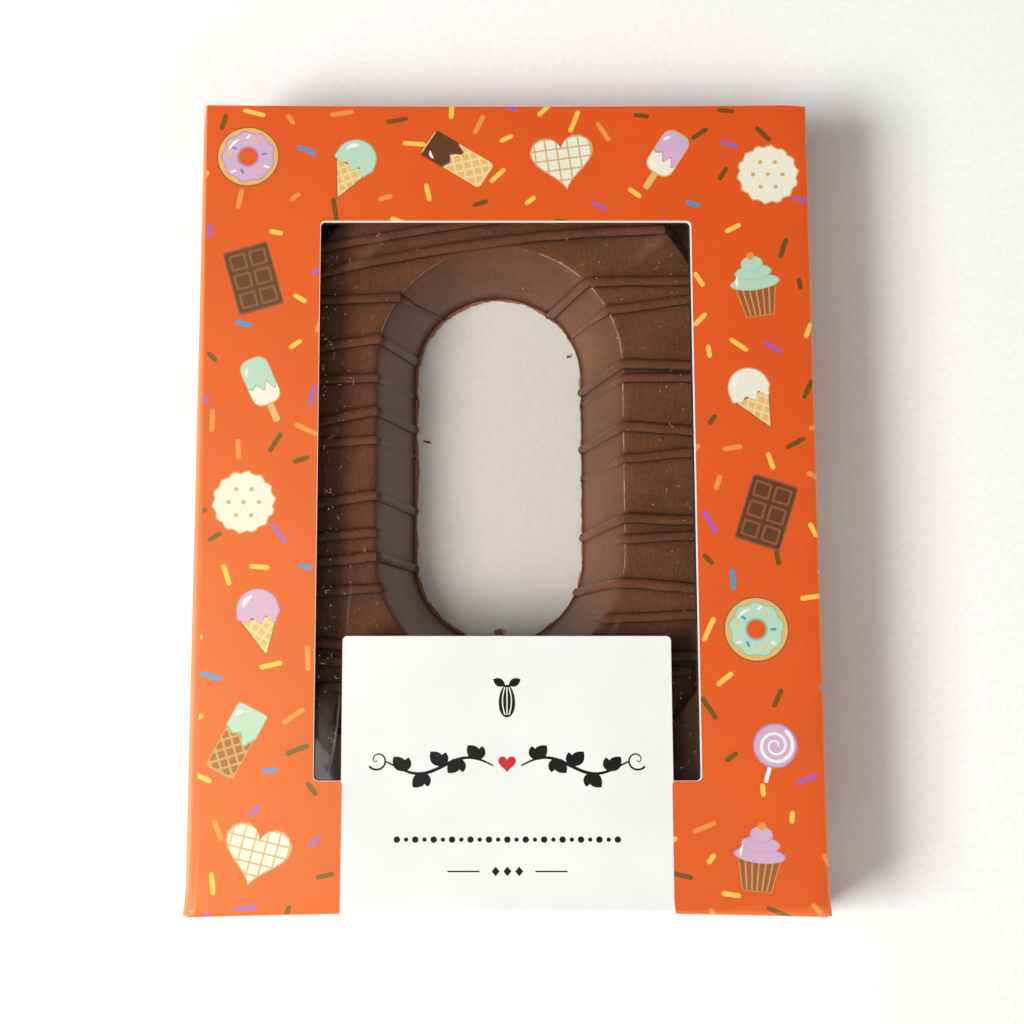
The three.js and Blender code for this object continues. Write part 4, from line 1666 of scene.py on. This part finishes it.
def strand_mesh(form, line, radius, slim, fades, number, material):
    """One round strand that lies on the letter's surface, a little uneven and slimmer on the slope"""
    sides = 14
    squareness = 0.85
    flatness = 0.72
    drift = 0.16
    points = []
    last = len(line) - 1
    for step, spot in enumerate(line):
        wave = wander(step * 0.11, number * 3.7, 0.5)
        swell = 1 + 0.08 * wander(step * 0.16, number * 5.3, 9.5)
        before, after = neighbours(line, step)
        along = (after - before).normalized()
        beside = Vector((-along.y, along.x))
        middle = spot + beside * drift * wave
        distance = form.distance(*middle)
        fall = form.height(form.distance(*after)) - form.height(form.distance(*before))
        run = max((after - before).length, 1e-6)
        tilt = math.atan2(fall, run)
        # A third of the way down the inner slope the strand is as slim as it gets
        down = clamped((form.inner - distance) / (form.inner - form.rim) * 3)
        reach = radius * swell * (1 - down * (1 - slim) * 0.5)
        rise = flatness * radius * swell * (1 - down * (1 - slim))
        sunk = 0.95 * max(0.0, 1 - (last - step) / 5) if fades else 0.0
        # It stands a little proud of the face and lies a little deeper on the slope
        height = form.base + form.height(distance) + 0.1 - 0.12 * down - sunk
        up = Vector((-along.x * math.sin(tilt), -along.y * math.sin(tilt), math.cos(tilt)))
        across = Vector((beside.x, beside.y, 0.0))
        for side in range(sides):
            angle = 2 * math.pi * side / sides
            wide = math.copysign(abs(math.cos(angle)) ** squareness, math.cos(angle))
            tall = math.copysign(abs(math.sin(angle)) ** squareness, math.sin(angle))
            points.append(Vector((middle.x, middle.y, height)) + across * reach * wide + up * rise * tall)
    faces = tube_faces(last + 1, sides)
    return mesh_piece(f"strand_{number}", points, [face[::-1] for face in faces], [material])


def outline_point(form, radius, side, y):
    """Where the outline at one radius stands at a height along Y"""
    beyond = max(abs(y - form.centre.y) - form.half, 0.0)
    return Vector((form.centre.x + side * math.sqrt(max(radius ** 2 - beyond ** 2, 0.0)), y))


def carried_to_foot(form, first, second):
    """Carries a line on past its first point until it comes to the letter's foot"""
    along = (first - second).normalized()
    spot = first.copy()
    move = 0.1 if form.distance(*spot) < form.strand_end else -0.1
    while (form.distance(*spot) < form.strand_end) == (move > 0):
        spot += along * move
    return spot


def strand_lines(form):
    """Each strand's line in plan, radius, slimness on the slope and whether it fades, and the nubs' places"""
    lines = []
    nubs = []
    pace = 0.5
    slimness = {THICK: 0.95, THIN: 0.35}
    nub_radius = {THICK: 0.88, THIN: 0.5}
    for side, outer, ridge, rim, kind in SIDE_STRANDS:
        radius = setting("letter", kind)
        ridge_point = outline_point(form, form.inner, side, ridge)
        reading = Vector((side * READING_X, outer))
        foot_point = carried_to_foot(form, reading, ridge_point)
        if rim is None:
            end_point = outline_point(form, form.inner - 2.0, side, ridge)
        else:
            end_point = outline_point(form, form.rim + 0.35, side, rim)
            nubs.append((outline_point(form, form.rim + 0.1, side, rim), nub_radius[kind]))
        line = eased_line([foot_point, ridge_point, end_point], pace)
        lines.append((line, radius, slimness[kind], rim is None))
    legs = 8
    for left, right, arch, kind in CROSS_STRANDS:
        spots = []
        for step in range(legs + 1):
            across = -1 + 2 * step / legs
            y = left + (right - left) * (across + 1) / 2 + arch * (1 - across ** 2)
            spots.append(Vector((across * READING_X, y)))
        inside = [spot for spot in spots if form.distance(*spot) < form.strand_end]
        start = carried_to_foot(form, inside[0], inside[1])
        end = carried_to_foot(form, inside[-1], inside[-2])
        lines.append((eased_line([start, *inside, end], pace), setting("letter", kind), 1.0, False))
    return lines, nubs


def nub_mesh(form, spot, radius, number, material):
    """A drop where a strand ends at the rim"""
    shape = bmesh.new()
    bmesh.ops.create_icosphere(shape, subdivisions=3, radius=radius)
    height = form.base + radius + 0.12
    points = []
    for vertex in shape.verts:
        dent = 1 + 0.1 * wander(*(vertex.co * 1.4 + Vector((number * 2.1, 0, 0))))
        points.append(Vector((spot.x, spot.y, height)) + vertex.co * dent)
    faces = [tuple(vertex.index for vertex in face.verts) for face in shape.faces]
    shape.free()
    return mesh_piece(f"nub_{number}", points, faces, [material])


def rim_flash(form, material):
    """The mould's flash: a thin uneven skin of chocolate that juts from the rim into the hole"""
    # From the letter's slope out over the hole: the share of the reach and the height
    columns = ((0.5, 0.62), (0.0, 0.5), (-0.5, 0.42), (-1.0, 0.3))
    thickness = 0.1
    points = []
    for layer in (0.0, -thickness):
        for share, height in columns:
            for anchor, facing in form.stations:
                place = anchor + facing * form.rim
                fine = wander(place.x / 0.7, place.y / 0.7, 5.0)
                broad = wander(place.x / 4, place.y / 4, 8.0)
                # The left side's flash is the wider one
                reach = 0.42 - 0.18 * facing.x + 0.3 * fine + 0.34 * broad
                spot = place + facing * share * max(0.1, reach)
                lift = 0.2 * wander(place.x / 1.2, place.y / 1.2, share * 3)
                points.append((spot.x, spot.y, form.base + height + lift + layer))
    rings = [*range(len(columns)), *range(2 * len(columns) - 1, len(columns) - 1, -1)]
    faces = ring_faces(rings + rings[:1], len(form.stations))
    return mesh_piece("rim_flash", points, faces, [material], smooth_angle=40)


def painted_ridge_highlight(form, material):
    """A thin pale strip painted on the ridge round the hole as its highlight, the widest at the right"""
    crossings = {1: [], -1: []}
    gap_beside = {THICK: 1.15, THIN: 0.85}
    for side, _, ridge, _, kind in SIDE_STRANDS:
        crossings[side].append((ridge, gap_beside[kind]))
    around = len(form.stations)
    points = []
    faces = []
    inner = form.inner - 0.1
    for turn in range(around):
        anchor, facing = form.stations[turn]
        place = anchor + facing * inner
        side = 1 if facing.x > 0 else -1
        # A strand that crosses the ridge breaks the line
        if any(abs(place.y - ridge) < gap for ridge, gap in crossings[side]):
            continue
        if facing.x > 0.35 and place.y > form.centre.y - form.half - 6:
            width = 0.26
        elif facing.x < -0.45 and facing.y > 0.2:
            width = 0.15
        else:
            continue
        uneven = wander(place.x / 1.1, place.y / 1.1, 2.0)
        width *= max(0.25, 0.85 + 0.9 * uneven)
        first = len(points)
        for station in (turn, (turn + 1) % around):
            anchor, facing = form.stations[station]
            for offset in (0.0, width):
                spot = anchor + facing * (inner + offset)
                points.append((spot.x, spot.y, form.base + form.thickness - 0.19 + 0.45 * offset))
        faces.append((first, first + 1, first + 3, first + 2))
    return mesh_piece("painted_ridge_highlight", points, faces, [material])


class SWEET_OT_letter(bpy.types.Operator):
    """Builds the moulded letter with its strands fused on"""
    bl_idname = "sweet.letter"
    bl_label = "Letter"

    def execute(self, context):
        form = LetterForm()
        brown = context.scene.sweet_letter.chocolate
        face_height = (form.base + form.thickness) * MM
        foot_height = (form.base + form.lip) * MM
        chocolate = moulded_chocolate_material("moulded_milk_chocolate", brown, face_height, foot_height)
        letter = letter_body(form, chocolate)
        lines, nubs = strand_lines(form)
        together = bpy.data.collections.new("strands")
        context.scene.collection.children.link(together)
        loose = [strand_mesh(form, *strand, number, chocolate) for number, strand in enumerate(lines)]
        loose += [nub_mesh(form, *nub, number, chocolate) for number, nub in enumerate(nubs)]
        for strand in loose:
            context.scene.collection.objects.unlink(strand)
            together.objects.link(strand)
        join = letter.modifiers.new("strands", "BOOLEAN")
        join.operation = "UNION"
        join.operand_type = "COLLECTION"
        join.collection = together
        join.solver = "MANIFOLD"
        joined = bpy.data.meshes.new_from_object(letter.evaluated_get(context.evaluated_depsgraph_get()))
        letter.modifiers.clear()
        if len(joined.polygons) <= len(letter.data.polygons):
            raise RuntimeError("the strands weren't joined to the letter")
        letter.data = joined
        joined.name = "moulded_letter"
        joined.shade_smooth()
        joined.set_sharp_from_angle(angle=math.radians(32))
        for strand in loose:
            bpy.data.objects.remove(strand)
        bpy.data.collections.remove(together)
        dress(letter, "letter")
        thin = moulded_chocolate_material("thin_chocolate_flash", linear("#9C6648"), 0.0, 0.0)
        dress(rim_flash(form, thin), None)
        # A pale strip painted on the ridge round the hole as its highlight
        pale = dull_patchy_material("painted_ridge_highlight_material", linear("#9A796A"))
        dress(painted_ridge_highlight(form, pale), None)
        return {"FINISHED"}


# The insert

class SWEET_OT_insert(bpy.types.Operator):
    """Builds the card frame that lies round the letter's foot"""
    bl_idname = "sweet.insert"
    bl_label = "Insert"

    def execute(self, context):
        form = LetterForm()
        gap = setting("letter", "insert_gap")
        half_wide = (INSERT_HIGH.x - INSERT_LOW.x) / 2
        half_tall = (INSERT_HIGH.y - INSERT_LOW.y) / 2
        outer = rounded_box(half_wide, half_tall, 0.8, steps=6)
        inner = [anchor + facing * (form.foot + gap) for anchor, facing in form.stations]
        flat = [Vector(place) for place in outer] + inner
        rings = [list(range(len(outer))), list(range(len(outer), len(flat)))[::-1]]
        edges = [pair for ring in rings for pair in ring_pairs(ring)]
        corners, _, triangles, _, _, _ = delaunay_2d_cdt(flat, edges, [], 0, 1e-6)
        levels = (INSERT_LOW.z, INSERT_HIGH.z)
        points = [(place.x, place.y, level) for level in levels for place in corners]
        above = len(corners)
        faces = []
        for triangle in triangles:
            middle = sum((corners[corner] for corner in triangle), Vector((0.0, 0.0))) / len(triangle)
            if form.distance(*middle) < form.foot + gap:
                continue
            faces.append(tuple(triangle)[::-1])
            faces.append(tuple(above + corner for corner in triangle))
        for ring in rings:
            for a, b in ring_pairs(ring):
                faces.append((a, b, above + b, above + a))
        card = printed_card_material("brown_kraft_card", linear("#DCA07C"), 0.5, linear("#FFEDDA"))
        dress(mesh_piece("brown_card_insert", points, faces, [card]), "insert")
        return {"FINISHED"}


# The stage: floor, light and camera

def softbox(name, place, size, power, tint):
    """A rectangular area light that looks at the floor under the pack's middle, in metres"""
    data = bpy.data.lights.new(name, "AREA")
    data.shape = "RECTANGLE"
    data.size = size[0]
    data.size_y = size[1]
    data.energy = power
    data.color = tint
    lamp = bpy.data.objects.new(name, data)
    lamp.location = place
    lamp.rotation_euler = (-Vector(place)).to_track_quat("-Z", "Y").to_euler()
    bpy.context.scene.collection.objects.link(lamp)


class SWEET_OT_stage(bpy.types.Operator):
    """Sets the floor, the soft studio light and the camera"""
    bl_idname = "sweet.stage"
    bl_label = "Stage"

    def execute(self, context):
        scene = context.scene
        settings = scene.sweet_stage
        half = 3000
        level = -0.05
        points = [(x * half, y * half, level) for x, y in ((-1, -1), (1, -1), (1, 1), (-1, 1))]
        ground = raw_card_material("pale_studio_floor", settings.floor)
        floor = mesh_piece("studio_floor", points, [(0, 1, 2, 3)], [ground])
        softbox("key_softbox", (-1.24, -0.46, 1.09), (0.88, 0.65), settings.key, (1.0, 0.985, 0.96))
        softbox("near_softbox", (-0.365, -0.055, 1.0), (0.47, 0.47), settings.near, (1.0, 1.0, 1.0))
        softbox("fill_softbox", (0.42, -0.8, 0.95), (0.6, 0.6), settings.fill, (0.97, 0.985, 1.0))
        softbox("side_softbox", (1.2, -0.1, 0.5), (1.3, 0.8), settings.side, (1.0, 0.99, 0.97))
        world = scene.world or bpy.data.worlds.new("studio")
        scene.world = world
        world.use_nodes = True
        tree = world.node_tree
        tree.nodes.clear()
        # The room is pale on the near side, dim on the far side and dark overhead, so that the
        # film doesn't mirror a bright ceiling
        aim = add_node(tree, "TexCoord").outputs["Generated"]
        overhead = add_node(tree, "VectorMath", {0: aim, 1: (0.02, 0.2, 0.98)}, operation="DOT_PRODUCT")
        ceiling = add_node(tree, "MapRange", {
            "Value": overhead.outputs["Value"], "From Min": 0.62, "From Max": 0.9,
            "To Min": settings.air, "To Max": settings.air * 0.08}, interpolation_type="SMOOTHSTEP")
        near_side = add_node(tree, "VectorMath", {0: aim, 1: (0.1, -0.98, 0.15)}, operation="DOT_PRODUCT")
        walls = add_node(tree, "MapRange", {
            "Value": near_side.outputs["Value"], "From Min": -0.5, "From Max": 0.7,
            "To Min": 0.22, "To Max": 1.0}, interpolation_type="SMOOTHSTEP")
        pale = add_node(tree, "Math", {0: ceiling, 1: walls}, operation="MULTIPLY")
        air = add_node(tree, "Background", {"Color": WHITE, "Strength": pale})
        add_node(tree, "OutputWorld", {"Surface": air})
        scene.view_settings.view_transform = "Standard"
        data = bpy.data.cameras.new("photo_camera")
        data.sensor_width = CAMERA_SENSOR
        data.lens = CAMERA_LENS
        data.shift_x = CAMERA_SHIFT
        data.clip_start = 0.01
        camera = bpy.data.objects.new("photo_camera", data)
        camera.location = CAMERA_PLACE
        camera.rotation_euler = (math.radians(CAMERA_TILT), 0.0, 0.0)
        scene.collection.objects.link(camera)
        scene.camera = camera
        return {"FINISHED"}


class SWEET_PT_sidebar(bpy.types.Panel):
    """Lists the pieces and their settings in the 3D view's sidebar"""
    bl_idname = "SWEET_PT_sidebar"
    bl_label = "Chocolate letter"
    bl_space_type = "VIEW_3D"
    bl_region_type = "UI"
    bl_category = "Chocolate"

    def draw(self, context):
        for operator in OPERATORS:
            self.layout.operator(operator.bl_idname)
        for name, group in SETTINGS.items():
            box = self.layout.box()
            for field in group.__annotations__:
                box.prop(getattr(context.scene, name), field)


OPERATORS = (
    SWEET_OT_stage, SWEET_OT_carton, SWEET_OT_film, SWEET_OT_insert, SWEET_OT_letter, SWEET_OT_bits,
    SWEET_OT_marks,
)


def register():
    """Registers the settings, the operators and the panel"""
    for group in SETTINGS.values():
        bpy.utils.register_class(group)
    for name, group in SETTINGS.items():
        setattr(bpy.types.Scene, name, bpy.props.PointerProperty(type=group))
    for operator in OPERATORS:
        bpy.utils.register_class(operator)
    bpy.utils.register_class(SWEET_PT_sidebar)


def unregister():
    """Takes back what register did"""
    bpy.utils.unregister_class(SWEET_PT_sidebar)
    for operator in reversed(OPERATORS):
        bpy.utils.unregister_class(operator)
    for name in SETTINGS:
        delattr(bpy.types.Scene, name)
    for group in SETTINGS.values():
        bpy.utils.unregister_class(group)


def main():
    """Builds everything"""
    register()
    bpy.ops.sweet.stage()
    bpy.ops.sweet.carton()
    bpy.ops.sweet.film()
    bpy.ops.sweet.insert()
    bpy.ops.sweet.letter()
    bpy.ops.sweet.bits()
    bpy.ops.sweet.marks()


if __name__ == "__main__":
    main()
